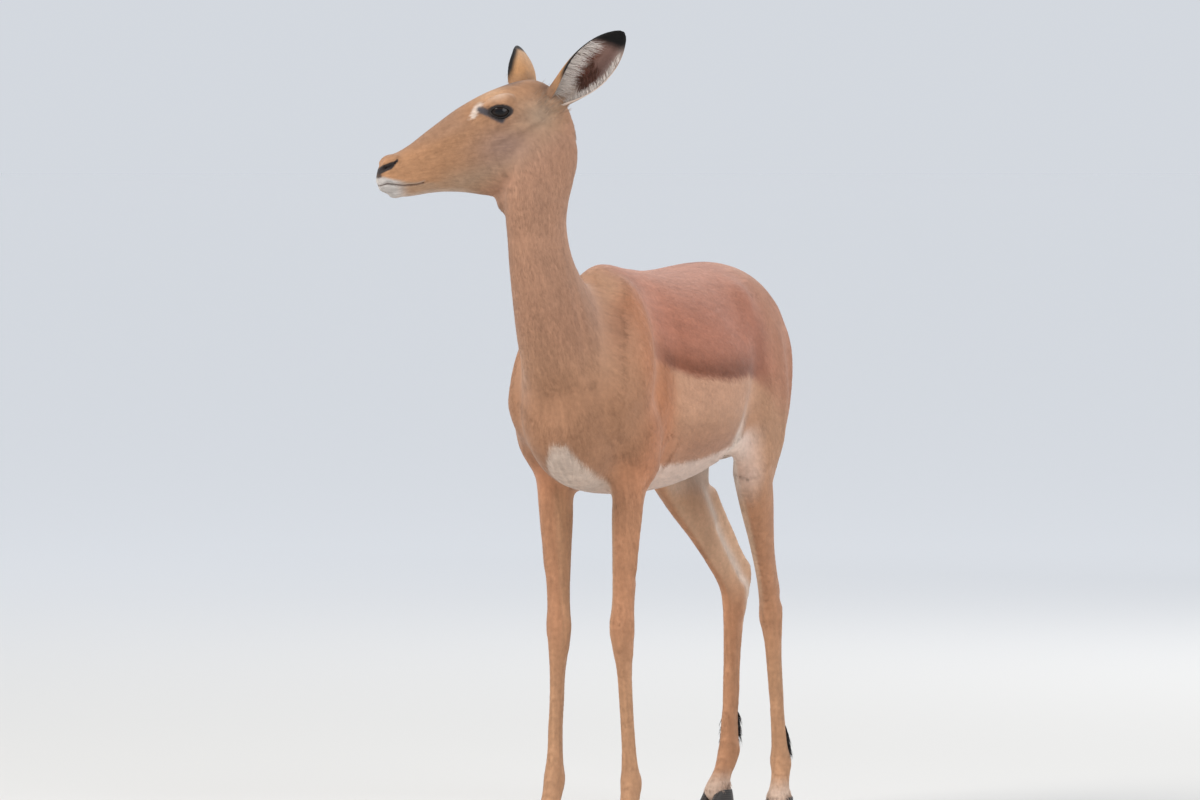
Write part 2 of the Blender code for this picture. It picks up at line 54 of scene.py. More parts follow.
FORE_FETLOCK_Z, HIND_FETLOCK_Z, CORONET_Z = 0.095, 0.093, 0.035
HEAD_TURN, HEAD_DROP = math.radians(52.0), math.radians(20.0)
HEAD_AT = np.array([-0.067, -0.42, 1.077])
EYE_RADIUS, EYE_OUT, EYE_UP = 0.017, 0.0335, 0.003
SIDES = (("left", 1), ("right", -1))
FORE = {
    "left": ((0.06, -0.222, ELBOW_Z), (0.055, -0.238, CARPUS_Z), (0.062, -0.22, FORE_FETLOCK_Z),
             (0.065, -0.242, CORONET_Z), math.radians(7)),
    "right": ((-0.064, -0.208, ELBOW_Z), (-0.051, -0.224, CARPUS_Z), (-0.06, -0.222, FORE_FETLOCK_Z),
              (-0.063, -0.244, CORONET_Z), math.radians(-7)),
}
HIND = {
    "left": ((0.084, 0.195, 0.56), (0.057, 0.344, 0.324), (0.068, 0.358, HIND_FETLOCK_Z - 0.007),
             (0.074, 0.336, CORONET_Z), math.radians(10)),
    "right": ((-0.082, 0.262, 0.555), (-0.049, 0.458, 0.345), (-0.059, 0.459, HIND_FETLOCK_Z - 0.003),
              (-0.069, 0.437, CORONET_Z), math.radians(-16)),
}


# ---- small tools

def unit(v):
    """Each vector divided by its own length."""
    return v / np.maximum(np.linalg.norm(v, axis=-1, keepdims=True), 1e-12)


def ramp(value, low, high):
    """0 at low, 1 at high, and a smooth S between them."""
    t = np.clip((value - low) / (high - low), 0, 1)
    return t * t * (3 - 2 * t)


def fall(value, low, high):
    """1 at low and 0 at high: the ramp turned over."""
    return 1 - ramp(value, low, high)


def band(value, start, full, last, end):
    """1 between full and last, and 0 past start and end, with a ramp at either side."""
    return ramp(value, start, full) * fall(value, last, end)


def bell(value, middle, wide):
    """1 at the middle, falling as exp(-((value - middle) / wide)^2)."""
    return np.exp(-((value - middle) / wide) ** 2)


def linear(code):
    """A colour written as #rrggbb, as three linear numbers."""
    parts = np.array([int(code[i:i + 2], 16) for i in (1, 3, 5)]) / 255
    return np.where(parts <= 0.04045, parts / 12.92, ((parts + 0.055) / 1.055) ** 2.4)


def paint(code, share=1.0):
    """A colour's share of its brightness, opaque, for a shader's socket."""
    return (*linear(code) * share, 1)


def head_axes():
    """Forward, left and up of the head, as columns."""
    ahead = np.array([-math.sin(HEAD_TURN), -math.cos(HEAD_TURN), 0.0])
    left = np.array([math.cos(HEAD_TURN), -math.sin(HEAD_TURN), 0.0])
    up = np.array([0.0, 0.0, 1.0])
    return np.stack([ahead * math.cos(HEAD_DROP) - up * math.sin(HEAD_DROP), left,
                     ahead * math.sin(HEAD_DROP) + up * math.cos(HEAD_DROP)], 1)


HEAD_AXES = head_axes()


def in_head(forward, left, up):
    """A place of the body, from its place in the head's own directions."""
    return HEAD_AT + HEAD_AXES @ np.array([forward, left, up])


def of_head(points):
    """Places given in the head's own directions: forward, left, up."""
    return (points - HEAD_AT) @ HEAD_AXES


def between(start, end, t):
    """The place at a share t of the way from start to end."""
    return np.asarray(start) * (1 - t) + np.asarray(end) * t


def leg_axes(yaw):
    """The level directions of a leg turned by yaw: to its rear and to its left."""
    return np.array([-math.sin(yaw), math.cos(yaw), 0.0]), np.array([math.cos(yaw), math.sin(yaw), 0.0])


def beside(joint, yaw, left, rear, up=0.0):
    """A place so far to the left, rear and top of a joint, in its leg's directions."""
    back, out = leg_axes(yaw)
    return np.asarray(joint) + out * left + back * rear + (0, 0, up)


# The imported part may stand elsewhere than the plan's numbers put it; its left eye tells how far.
PLAN_TO_ROW = sum(np.array(corner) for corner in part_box("eye_left")) / 2 - in_head(0, EYE_OUT, EYE_UP)


# ---- surfaces

def carried(rows, steps):
    """Rows of numbers carried smoothly through the given rows, by a Catmull-Rom curve."""
    rows = np.asarray([np.hstack(row) for row in rows], float)
    padded = np.vstack([2 * rows[0] - rows[1], rows, 2 * rows[-1] - rows[-2]])
    where = np.linspace(0, len(rows) - 1, (len(rows) - 1) * steps + 1)
    low = np.minimum(where.astype(int), len(rows) - 2)
    t = (where - low)[:, None]
    a, b, c, d = padded[low], padded[low + 1], padded[low + 2], padded[low + 3]
    return 0.5 * (2 * b + (c - a) * t + (2 * a - 5 * b + 4 * c - d) * t**2
                  + (3 * b - a - 3 * c + d) * t**3)


def grid_faces(rows, columns, ring=False):
    """Corners of the four-sided faces of a grid whose columns go round. In a ring its rows do too."""
    i = np.arange(rows if ring else rows - 1)[:, None]
    j = np.arange(columns)[None, :]
    k, m = (j + 1) % columns, (i + 1) % rows
    return np.stack([i * columns + j, i * columns + k, m * columns + k, m * columns + j], -1).reshape(-1, 4)


def closed(rings):
    """A body through the rings of a grid, with each end ring run in to its own middle."""
    rows, columns = rings.shape[:2]
    points = np.vstack([rings.reshape(-1, 3), rings[0].mean(0), rings[-1].mean(0)])
    j = np.arange(columns)
    k = (j + 1) % columns
    first = np.stack([k, j, np.full(columns, rows * columns)], -1)
    last = np.stack([j, k, np.full(columns, 1)], -1) + (rows - 1) * columns
    last[:, 2] = rows * columns + 1
    return points, [grid_faces(rows, columns), first, last]


def outward(points, faces):
    """The same faces, turned round if the body they close is inside out."""
    fan = np.vstack([np.stack([f[:, 0], f[:, i], f[:, i + 1]], -1)
                     for f in faces for i in range(1, f.shape[1] - 1)])
    a, b, c = (points[fan[:, i]] for i in range(3))
    return faces if np.einsum("ij,ij->i", a, np.cross(b, c)).sum() > 0 else [f[:, ::-1] for f in faces]


def joined(bodies):
    """Several bodies as one list of points and faces."""
    points, faces, start = [], [], 0
    for own_points, own_faces in bodies:
        points.append(own_points)
        faces += [f + start for f in outward(own_points, own_faces)]
        start += len(own_points)
    return np.vstack(points), faces


def mesh_of(name, points, faces):
    """A mesh from an array of points and arrays of face corners."""
    data = bpy.data.meshes.new(name)
    corners = np.concatenate([f.ravel() for f in faces]).astype(np.int32)
    sizes = np.concatenate([np.full(len(f), f.shape[1]) for f in faces])
    data.vertices.add(len(points))
    data.vertices.foreach_set("co", np.asarray(points, np.float32).ravel())
    data.loops.add(len(corners))
    data.loops.foreach_set("vertex_index", corners)
    data.polygons.add(len(sizes))
    data.polygons.foreach_set("loop_start", (np.cumsum(sizes) - sizes).astype(np.int32))
    data.update(calc_edges=True)
    data.shade_smooth()
    return data


def piece(name, data, finish):
    """An object at the origin that rides with the body."""
    data.name = name
    data.materials.clear()
    data.materials.append(finish)
    made = bpy.data.objects.new(name, data)
    bpy.context.scene.collection.objects.link(made)
    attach(made, "root")
    return made


def numbers(data, what, of, width):
    """One property of every vertex, edge or loop of a mesh, as an array."""
    found = np.empty(len(getattr(data, of)) * width, np.float32 if what == "co" else np.int32)
    getattr(data, of).foreach_get(what, found)
    return found.reshape(-1, width) if width > 1 else found


def lay_colours(data, colours):
    """Writes the colour of the coat at each vertex."""
    layer = data.attributes.new("coat", "FLOAT_COLOR", "POINT")
    rows = np.hstack([colours, np.ones((len(colours), 1))])
    layer.data.foreach_set("color", rows.astype(np.float32).ravel())


def section(across, high, low, power_high, power_low, taper, around=56):
    """Egg outlines, one for each row: x = across * cos^(2/p), y = height * sin^(2/p), leaning by taper."""
    across, high, low, power_high, power_low, taper = (
        np.asarray(v, float).reshape(-1, 1) for v in (across, high, low, power_high, power_low, taper))
    angle = np.linspace(0, 2 * np.pi, around, endpoint=False)[None, :]
    upper = np.sin(angle) >= 0
    power = np.where(upper, power_high, power_low)
    x = across * np.sign(np.cos(angle)) * np.abs(np.cos(angle)) ** (2 / power)
    y = np.where(upper, high, low) * np.sign(np.sin(angle)) * np.abs(np.sin(angle)) ** (2 / power)
    return x * (1 + taper * y / np.maximum(high, low)), y


def limb(stops, yaw=0.0, steps=10, around=40):
    """A tube through stops of x, y, z, fore-and-aft radius and sideways radius, its toe turned by yaw."""
    rows = carried(stops, steps)
    path, fore, side = rows[:, :3], rows[:, 3], rows[:, 4]
    along = unit(np.gradient(path, axis=0))
    front = unit(np.cross(np.array([math.cos(yaw), math.sin(yaw), 0.0]), along))
    sideways = np.cross(along, front)
    angle = np.linspace(0, 2 * np.pi, around, endpoint=False)
    rings = (path[:, None] + np.cos(angle)[None, :, None] * (side[:, None] * sideways)[:, None]
             + np.sin(angle)[None, :, None] * (fore[:, None] * front)[:, None])
    return closed(rings)


def ball(centre, radii, axes=np.eye(3), around=28):
    """An ellipsoid: latitude and longitude scaled by three radii along three axes."""
    lat = np.linspace(-np.pi / 2, np.pi / 2, around // 2 + 2)[1:-1, None]
    lon = np.linspace(0, 2 * np.pi, around, endpoint=False)[None, :]
    round_ = np.stack([np.cos(lat) * np.cos(lon), np.cos(lat) * np.sin(lon),
                       np.sin(lat) * np.ones_like(lon)], -1)
    return closed(np.asarray(centre) + (round_ * np.asarray(radii)) @ np.asarray(axes).T)


# ---- the flesh, limb by limb

def trunk():
    """Ribs, belly, loin and rump: y, half width, top, widest height, bottom, squareness above, below."""
    y, across, top, wide, bottom, high, low = carried([
        (-0.365, 0.03, 0.69, 0.64, 0.6, 2.0, 2.0), (-0.345, 0.058, 0.735, 0.64, 0.565, 2.0, 2.0),
        (-0.3, 0.078, 0.79, 0.65, 0.535, 1.9, 2.0), (-0.24, 0.088, 0.84, 0.655, 0.522, 1.7, 2.0),
        (-0.19, 0.1, WITHERS_Z, 0.66, 0.517, 1.6, 2.1), (-0.12, 0.114, 0.852, 0.665, 0.514, 1.7, 2.2),
        (-0.04, 0.126, 0.846, 0.67, BELLY_Z - 0.004, 1.9, 2.2),
        (0.04, 0.128, 0.847, 0.68, BELLY_Z + 0.004, 2.0, 2.2), (0.11, 0.12, 0.851, 0.695, 0.534, 2.1, 2.1),
        (0.17, 0.11, CROUP_Z, 0.715, 0.552, 2.1, 2.0), (0.23, 0.106, CROUP_Z, 0.725, 0.58, 2.1, 2.0),
        (0.29, 0.098, 0.845, 0.73, 0.61, 2.1, 2.0), (0.34, 0.082, 0.822, 0.73, 0.635, 2.1, 2.0),
        (0.372, 0.054, 0.794, 0.725, 0.655, 2.0, 2.0), (0.386, 0.024, 0.765, 0.72, 0.675, 2.0, 2.0),
    ], 8).T
    x, z = section(across, top - wide, wide - bottom, high, low, 0 * y, 96)
    return closed(np.stack([x, np.broadcast_to(y[:, None], x.shape), wide[:, None] + z], -1))


def neck():
    """Outlines across the neck's path: x, y, z, depth, half width, twist to the head's side, taper."""
    rows = carried([
        (0.0, -0.225, 0.69, 0.14, 0.076, 0.0, -0.5), (-0.001, -0.285, 0.728, 0.112, 0.064, 0.0, -0.42),
        (-0.005, -0.336, 0.782, 0.087, 0.051, 2.0, -0.3), (-0.01, -0.369, 0.84, 0.066, 0.0425, 6.0, -0.2),
        (-0.014, -0.384, 0.9, 0.0535, 0.0378, 14, -0.15), (-0.013, -0.3905, 0.955, 0.055, 0.0375, 24, -0.12),
        (-0.008, -0.383, 1.02, 0.0555, 0.0385, 36, -0.12), (-0.018, -0.384, 1.068, 0.042, 0.036, 46, -0.12),
    ], 10)
    path = rows[:, :3]
    _, _, _, deep, wide, twist, taper = rows.T
    along = unit(np.gradient(path, axis=0))
    turn = np.radians(twist)
    front = unit(np.cross(np.stack([np.cos(turn), -np.sin(turn), 0 * turn], -1), along))
    left = np.cross(along, front)
    x, y = section(wide, deep, deep, 0 * deep + 2, 0 * deep + 2, taper)
    return closed(path[:, None] + x[..., None] * left[:, None] - y[..., None] * front[:, None])


def head():
    """Skull, face and jaw along the nose: forward, top, widest height, bottom, half width, taper."""
    ahead, top, wide, bottom, across, taper = carried([
        (-0.101, -0.012, -0.042, -0.074, 0.021, 0.0), (-0.087, 0.012, -0.036, -0.092, 0.033, 0.05),
        (-0.068, 0.0275, -0.03, -0.106, 0.041, 0.1), (-0.043, 0.0328, -0.026, -0.114, 0.0425, 0.14),
        (-0.018, 0.0336, -0.024, -0.1185, 0.043, 0.16), (0.004, 0.0328, -0.024, -0.1215, 0.042, 0.14),
        (0.028, 0.03, -0.026, -0.12, 0.039, 0.11), (0.055, 0.025, -0.03, -0.1065, 0.035, 0.06),
        (0.083, 0.0172, -0.032, -0.092, 0.03, 0.0), (0.11, 0.0092, -0.034, -0.0812, 0.0258, -0.06),
        (0.133, 0.002, -0.036, -0.075, 0.023, -0.08), (0.153, -0.002, -0.0365, -0.0712, 0.0216, -0.06),
        (0.169, -0.0022, -0.0365, -0.0672, 0.02, 0.0), (0.181, -0.0062, -0.037, -0.062, 0.0175, 0.02),
        (0.1895, -0.013, -0.0375, -0.056, 0.014, 0.02), (0.1965, -0.023, -0.038, -0.05, 0.0095, 0.0),
        (0.2005, -0.031, -0.0385, -0.0455, 0.004, 0.0),
    ], 8).T
    x, z = section(across, top - wide, wide - bottom, 0 * ahead + 2.2, 0 * ahead + 2, taper)
    local = np.stack([np.broadcast_to(ahead[:, None], x.shape), x, wide[:, None] + z], -1)
    return closed(HEAD_AT + local @ HEAD_AXES.T)


def head_masses():
    """The brows, orbits, cheeks, ear roots, nostrils and chin, as ellipsoids on the skull."""
    rows = [(ahead, side * out, up, radii) for side in (-1, 1) for (ahead, out, up), radii in (
        ((-0.002, 0.033, 0.012), (0.027, 0.0165, 0.0145)),
        ((0.0, 0.031, -0.0125), (0.026, 0.016, 0.015)),
        ((-0.012, 0.019, -0.072), (0.048, 0.02, 0.04)),
        ((0.17, 0.0098, -0.0145), (0.017, 0.0095, 0.0125)))]
    rows += [(-0.068, -0.03, -0.001, (0.022, 0.016, 0.019)), (-0.084, 0.034, -0.011, (0.021, 0.0175, 0.0185)),
             (0.173, 0.0, -0.0568, (0.017, 0.014, 0.009)), (0.016, 0.0, -0.123, (0.027, 0.024, 0.032))]
    return [ball(in_head(ahead, out, up), radii, HEAD_AXES) for ahead, out, up, radii in rows]


def shoulder(side):
    """The blade of the shoulder, and the muscle behind the upper arm."""
    blade = [(0.034, -0.18, 0.828, 0.022, 0.013), (0.053, -0.207, 0.775, 0.052, 0.028),
             (0.07, -0.245, 0.705, 0.064, 0.034), (0.071, -0.28, 0.645, 0.05, 0.031),
             (0.062, -0.288, 0.6, 0.026, 0.021)]
    arm = [(0.071, -0.275, 0.66, 0.04, 0.028), (0.077, -0.238, 0.618, 0.056, 0.032),
           (0.072, -0.214, 0.572, 0.048, 0.028), (0.062, -0.214, 0.53, 0.034, 0.022)]
    return [limb([(side * x, *rest) for x, *rest in rows]) for rows in (blade, arm)]


# The lower pastern and the coronet, alike on all four legs; the last row lies inside the hoof.
FOOT_ROWS = ((0.76, 0.0172, 0.016), (1.0, 0.0212, 0.0192), (1.35, 0.0195, 0.0185))


def stations(*stretches):
    """Stops for a limb: along each stretch from joint to joint, a share of its length and two radii."""
    return [(*between(start, end, t), fore, side) for start, end, rows in stretches for t, fore, side in rows]


def foreleg(elbow, carpus, fetlock, toe, yaw):
    """Forearm, knee, cannon, fetlock and pastern on four joints."""
    back, _ = leg_axes(yaw)
    rows = stations(
        (elbow, carpus, ((0.0, 0.04, 0.0265), (0.25, 0.034, 0.024), (0.52, 0.0265, 0.0205),
                         (0.76, 0.0205, 0.018), (0.92, 0.0195, 0.0182))),
        (carpus, fetlock, ((0.0, 0.0205, 0.0192), (0.12, 0.0185, 0.0165), (0.3, 0.0145, 0.0128),
                           (0.58, 0.0135, 0.0118), (0.84, 0.0148, 0.0126))),
        (fetlock, toe, ((0.0, 0.0188, 0.0156), (0.42, 0.0165, 0.0148), *FOOT_ROWS)))
    return [limb(rows, yaw), ball(carpus + back * 0.012, (0.01, 0.012, 0.016)),
            ball(fetlock + back * 0.011, (0.0125, 0.01, 0.012))]


def thigh(side, stifle):
    """The haunch in front, the rounded muscle behind, and the fold that runs to the flank."""
    sx, sy, sz = stifle
    front = [(side * 0.05, 0.205, 0.815, 0.06, 0.026), (side * 0.068, 0.225, 0.745, 0.088, 0.038),
             (side * 0.078, (0.235 + sy) / 2 + 0.012, 0.665, 0.094, 0.042),
             (side * 0.08, sy + 0.032, 0.6, 0.078, 0.037), (sx, sy + 0.022, sz - 0.01, 0.054, 0.03)]
    rear = [(side * 0.04, 0.322, 0.792, 0.036, 0.028), (side * 0.055, 0.33, 0.725, 0.049, 0.038),
            (side * 0.062, 0.316, 0.65, 0.05, 0.036),
            (side * 0.066, (0.3 + sy + 0.08) / 2, 0.58, 0.044, 0.03),
            (side * 0.067, sy + 0.078, 0.525, 0.031, 0.022), (side * 0.064, sy + 0.09, 0.478, 0.017, 0.014)]
    fold = [(side * 0.072, 0.085, 0.625, 0.03, 0.016), (side * 0.078, 0.125, 0.6, 0.03, 0.018),
            (side * 0.08, sy - 0.025, sz + 0.018, 0.03, 0.018), (sx, sy, sz - 0.015, 0.026, 0.02)]
    return [limb(front), limb(rear), limb(fold)]


def hindleg(stifle, hock, fetlock, toe, yaw):
    """Gaskin, hock with its point and the cord above it, cannon, fetlock and pastern on four joints."""
    back, _ = leg_axes(yaw)
    rows = stations((stifle, hock, ((0.0, 0.05, 0.032), (0.27, 0.044, 0.027), (0.52, 0.033, 0.0205),
                                    (0.76, 0.0265, 0.0165), (0.94, 0.0255, 0.0172))))
    rows.append((*(np.asarray(hock) + (0, 0, -0.018)), 0.0242, 0.0174))
    rows += stations(
        (hock, fetlock, ((0.14, 0.0222, 0.016), (0.32, 0.0186, 0.0132), (0.62, 0.017, 0.012),
                         (0.86, 0.0175, 0.013))),
        (fetlock, toe, ((0.0, 0.02, 0.016), (0.42, 0.0168, 0.0148), *FOOT_ROWS)))
    point = hock + back * 0.031 + (0, 0, 0.026)
    calf = between(stifle, hock, 0.3) + back * 0.052 + (0, 0, 0.01)
    cord = [(*calf, 0.016, 0.014), (*between(calf, point, 0.5), 0.0125, 0.009),
            (*between(calf, point, 0.85), 0.011, 0.0088), (*point, 0.0122, 0.01),
            (*(point - back * 0.006 + (0, 0, -0.028)), 0.0115, 0.0095),
            (*(between(hock, fetlock, 0.24) + back * 0.006), 0.012, 0.01)]
    return [limb(rows, yaw), limb(cord, yaw), ball(fetlock + back * 0.011, (0.0125, 0.01, 0.012))]


def tail():
    """The tail hangs close behind the buttocks."""
    return limb([(0.0, 0.345, 0.79, 0.01, 0.013), (0.0, 0.384, 0.784, 0.012, 0.016),
                 (0.0, 0.403, 0.75, 0.0105, 0.0165), (0.0, 0.402, 0.695, 0.009, 0.015),
                 (0.0, 0.395, 0.64, 0.0075, 0.011), (0.0, 0.39, 0.605, 0.005, 0.006)])


def flesh():
    """Every loft and ball of the animal, as one list of points and faces."""
    bodies = [trunk(), neck(), head(), tail(), ball((0.0, 0.262, 0.59), (0.05, 0.07, 0.04))]
    bodies += head_masses()
    for name, side in SIDES:
        bodies += shoulder(side) + foreleg(*FORE[name])
        bodies += thigh(side, HIND[name][0]) + hindleg(*HIND[name])
    return joined(bodies)


# ---- one skin

# Space is opened out round the head, so that even cells come out finest on the muzzle and the eyes.
LENSES = ((in_head(0.172, 0.0, -0.042), 0.035, 0.07), (in_head(0.005, 0.0, -0.025), 0.11, 0.22))
SKIN_CELL = 0.0063
NEWTON_STEPS = 30


def opened(points, lens):
    """A point at distance r from the lens moves out to r + c(1 - exp(-r/L))."""
    centre, length, reach = lens
    away = points - centre
    r = np.maximum(np.linalg.norm(away, axis=1, keepdims=True), 1e-9)
    return centre + away * (r + reach * (1 - np.exp(-r / length))) / r


def folded_back(points, lens):
    """The same map undone, by Newton's steps on r."""
    centre, length, reach = lens
    away = points - centre
    far = np.maximum(np.linalg.norm(away, axis=1, keepdims=True), 1e-9)
    r = far / (1 + reach / length)
    for _ in range(NEWTON_STEPS):
        r = r - (r + reach * (1 - np.exp(-r / length)) - far) / (1 + reach / length * np.exp(-r / length))
        r = np.maximum(r, 0)
    return centre + away * r / far


def evaluated(thing):
    """The mesh that an object's modifiers make, with the object removed."""
    graph = bpy.context.evaluated_depsgraph_get()
    data = bpy.data.meshes.new_from_object(thing.evaluated_get(graph))
    bpy.data.objects.remove(thing, do_unlink=True)
    return data


def one_surface():
    """The lofts joined by a voxel remesh in the opened space, and folded back."""
    points, faces = flesh()
    for lens in LENSES:
        points = opened(points, lens)
    thing = bpy.data.objects.new("lofts", mesh_of("lofts", points, faces))
    bpy.context.scene.collection.objects.link(thing)
    remesh = thing.modifiers.new("Join", "REMESH")
    remesh.mode = "VOXEL"
    remesh.voxel_size = SKIN_CELL * 1
    data = evaluated(thing)
    points = numbers(data, "co", "vertices", 3).astype(float)
    for lens in reversed(LENSES):
        points = folded_back(points, lens)
    quads = numbers(data, "vertex_index", "loops", 1).reshape(-1, 4)
    edges = numbers(data, "vertices", "edges", 2)
    bpy.data.meshes.remove(data)
    return points, quads, edges


def eased(points, edges, rounds, share):
    """Each round moves every point by its share of the way to the mean of its neighbours."""
    count = len(points)
    a, b = edges.T
    near = np.bincount(a, minlength=count) + np.bincount(b, minlength=count)      # neighbours of each point
    for _ in range(rounds):
        mean = np.stack([np.bincount(a, points[b, k], count) + np.bincount(b, points[a, k], count)
                         for k in range(points.shape[1])], 1) / near[:, None]
        points = points + share * (mean - points)
    return points


def kept_girth(before, points, quads, edges):
    """Easing draws thin limbs in, so its shift along the normal, eased to a broad average, is undone."""
    ways = normals_of(points, quads)
    lost = ((before - points) * ways).sum(1, keepdims=True)
    return points + ways * eased(lost, edges, 40, 0.6)


def normals_of(points, quads):
    """The mean direction of the faces round each point."""
    across = np.cross(points[quads[:, 2]] - points[quads[:, 0]], points[quads[:, 3]] - points[quads[:, 1]])
    total = np.stack([np.bincount(quads.ravel(), np.repeat(across[:, k], 4), len(points))
                      for k in range(3)], 1)
    return unit(total)


FAR = 9.0                                 # metres: further than anything on the animal


def to_path(points, path):
    """Distance from each point to the nearest place on a line of straight pieces."""
    nearest = np.full(len(points), FAR)
    for start, end in zip(path[:-1], path[1:]):
        run = end - start
        t = np.clip((points - start) @ run / max(run @ run, 1e-12), 0, 1)
        nearest = np.minimum(nearest, np.linalg.norm(points - start - t[:, None] * run, axis=1))
    return nearest


EYE_TILT = math.radians(16)               # the front corner of the eye lies higher along the nose
OPENING = (0.0163, 0.0092)                # half length and half height between the lids
LID = 0.0013


def eye_frame(side):
    """Centre of the eyeball, and its own axes as columns: towards the nose, up, and out along its gaze."""
    gaze = unit(np.array([0.3, side, 0.04]))
    ahead = unit(np.array([math.cos(EYE_TILT), 0, math.sin(EYE_TILT)]))
    ahead = unit(ahead - gaze * (ahead @ gaze))
    up = np.cross(gaze, ahead) * side
    return in_head(0, side * EYE_OUT, EYE_UP), HEAD_AXES @ np.stack([ahead, up, gaze], 1)


def lid_height(x):
    """The edge of the upper and of the lower lid over the length of the eye: a half sine, fuller above."""
    across = np.clip(1 - np.abs(x) ** 1.9, 0, 1) ** 0.8
    return OPENING[1] * across * (1 - 0.16 * x), -OPENING[1] * 0.86 * across * (1 + 0.1 * x)


def round_eye(points, side, wider, taller):
    """1 on an oval a little outside the lids of an eye, less within it, and far behind the eye."""
    centre, axes = eye_frame(side)
    away = (points - centre) @ axes
    ring = np.hypot(away[:, 0] / (OPENING[0] + wider), away[:, 1] / (OPENING[1] + taller))
    return np.where(away[:, 2] > 0, ring, FAR)


def settled_round_eyes(points):
    """The skin parts over each eyeball: between the lids it drops behind the ball, and round them it
    lies a lid's thickness over it, easing into the face two lid heights away."""
    for _, side in SIDES:
        centre, axes = eye_frame(side)
        away = (points - centre) @ axes
        r = np.linalg.norm(away, axis=1)
        facing = (away[:, 2] > 0.15 * r) & (r < 0.05)
        slope = EYE_RADIUS * np.arctan2(np.hypot(away[:, 0], away[:, 1]), away[:, 2])
        flat = slope / np.maximum(np.hypot(away[:, 0], away[:, 1]), 1e-9)
        x, y = away[:, 0] * flat / OPENING[0], away[:, 1] * flat
        high, low = lid_height(np.clip(x, -1, 1))
        past = np.maximum(np.where(y > 0, y - high, low - y), (np.abs(x) - 1) * OPENING[0])
        domed = np.maximum(r, EYE_RADIUS + LID)
        lid = EYE_RADIUS + LID + 0.05 * np.maximum(past, 0)
        over = lid + (domed - lid) * ramp(past, 0.001, 0.009)
        new = np.where(past < 0, EYE_RADIUS - 0.004 * ramp(-past, -0.0002, 0.0016), over)
        points = np.where(facing[:, None], centre + (away * (new / np.maximum(r, 1e-9))[:, None]) @ axes.T,
                          points)
    return points


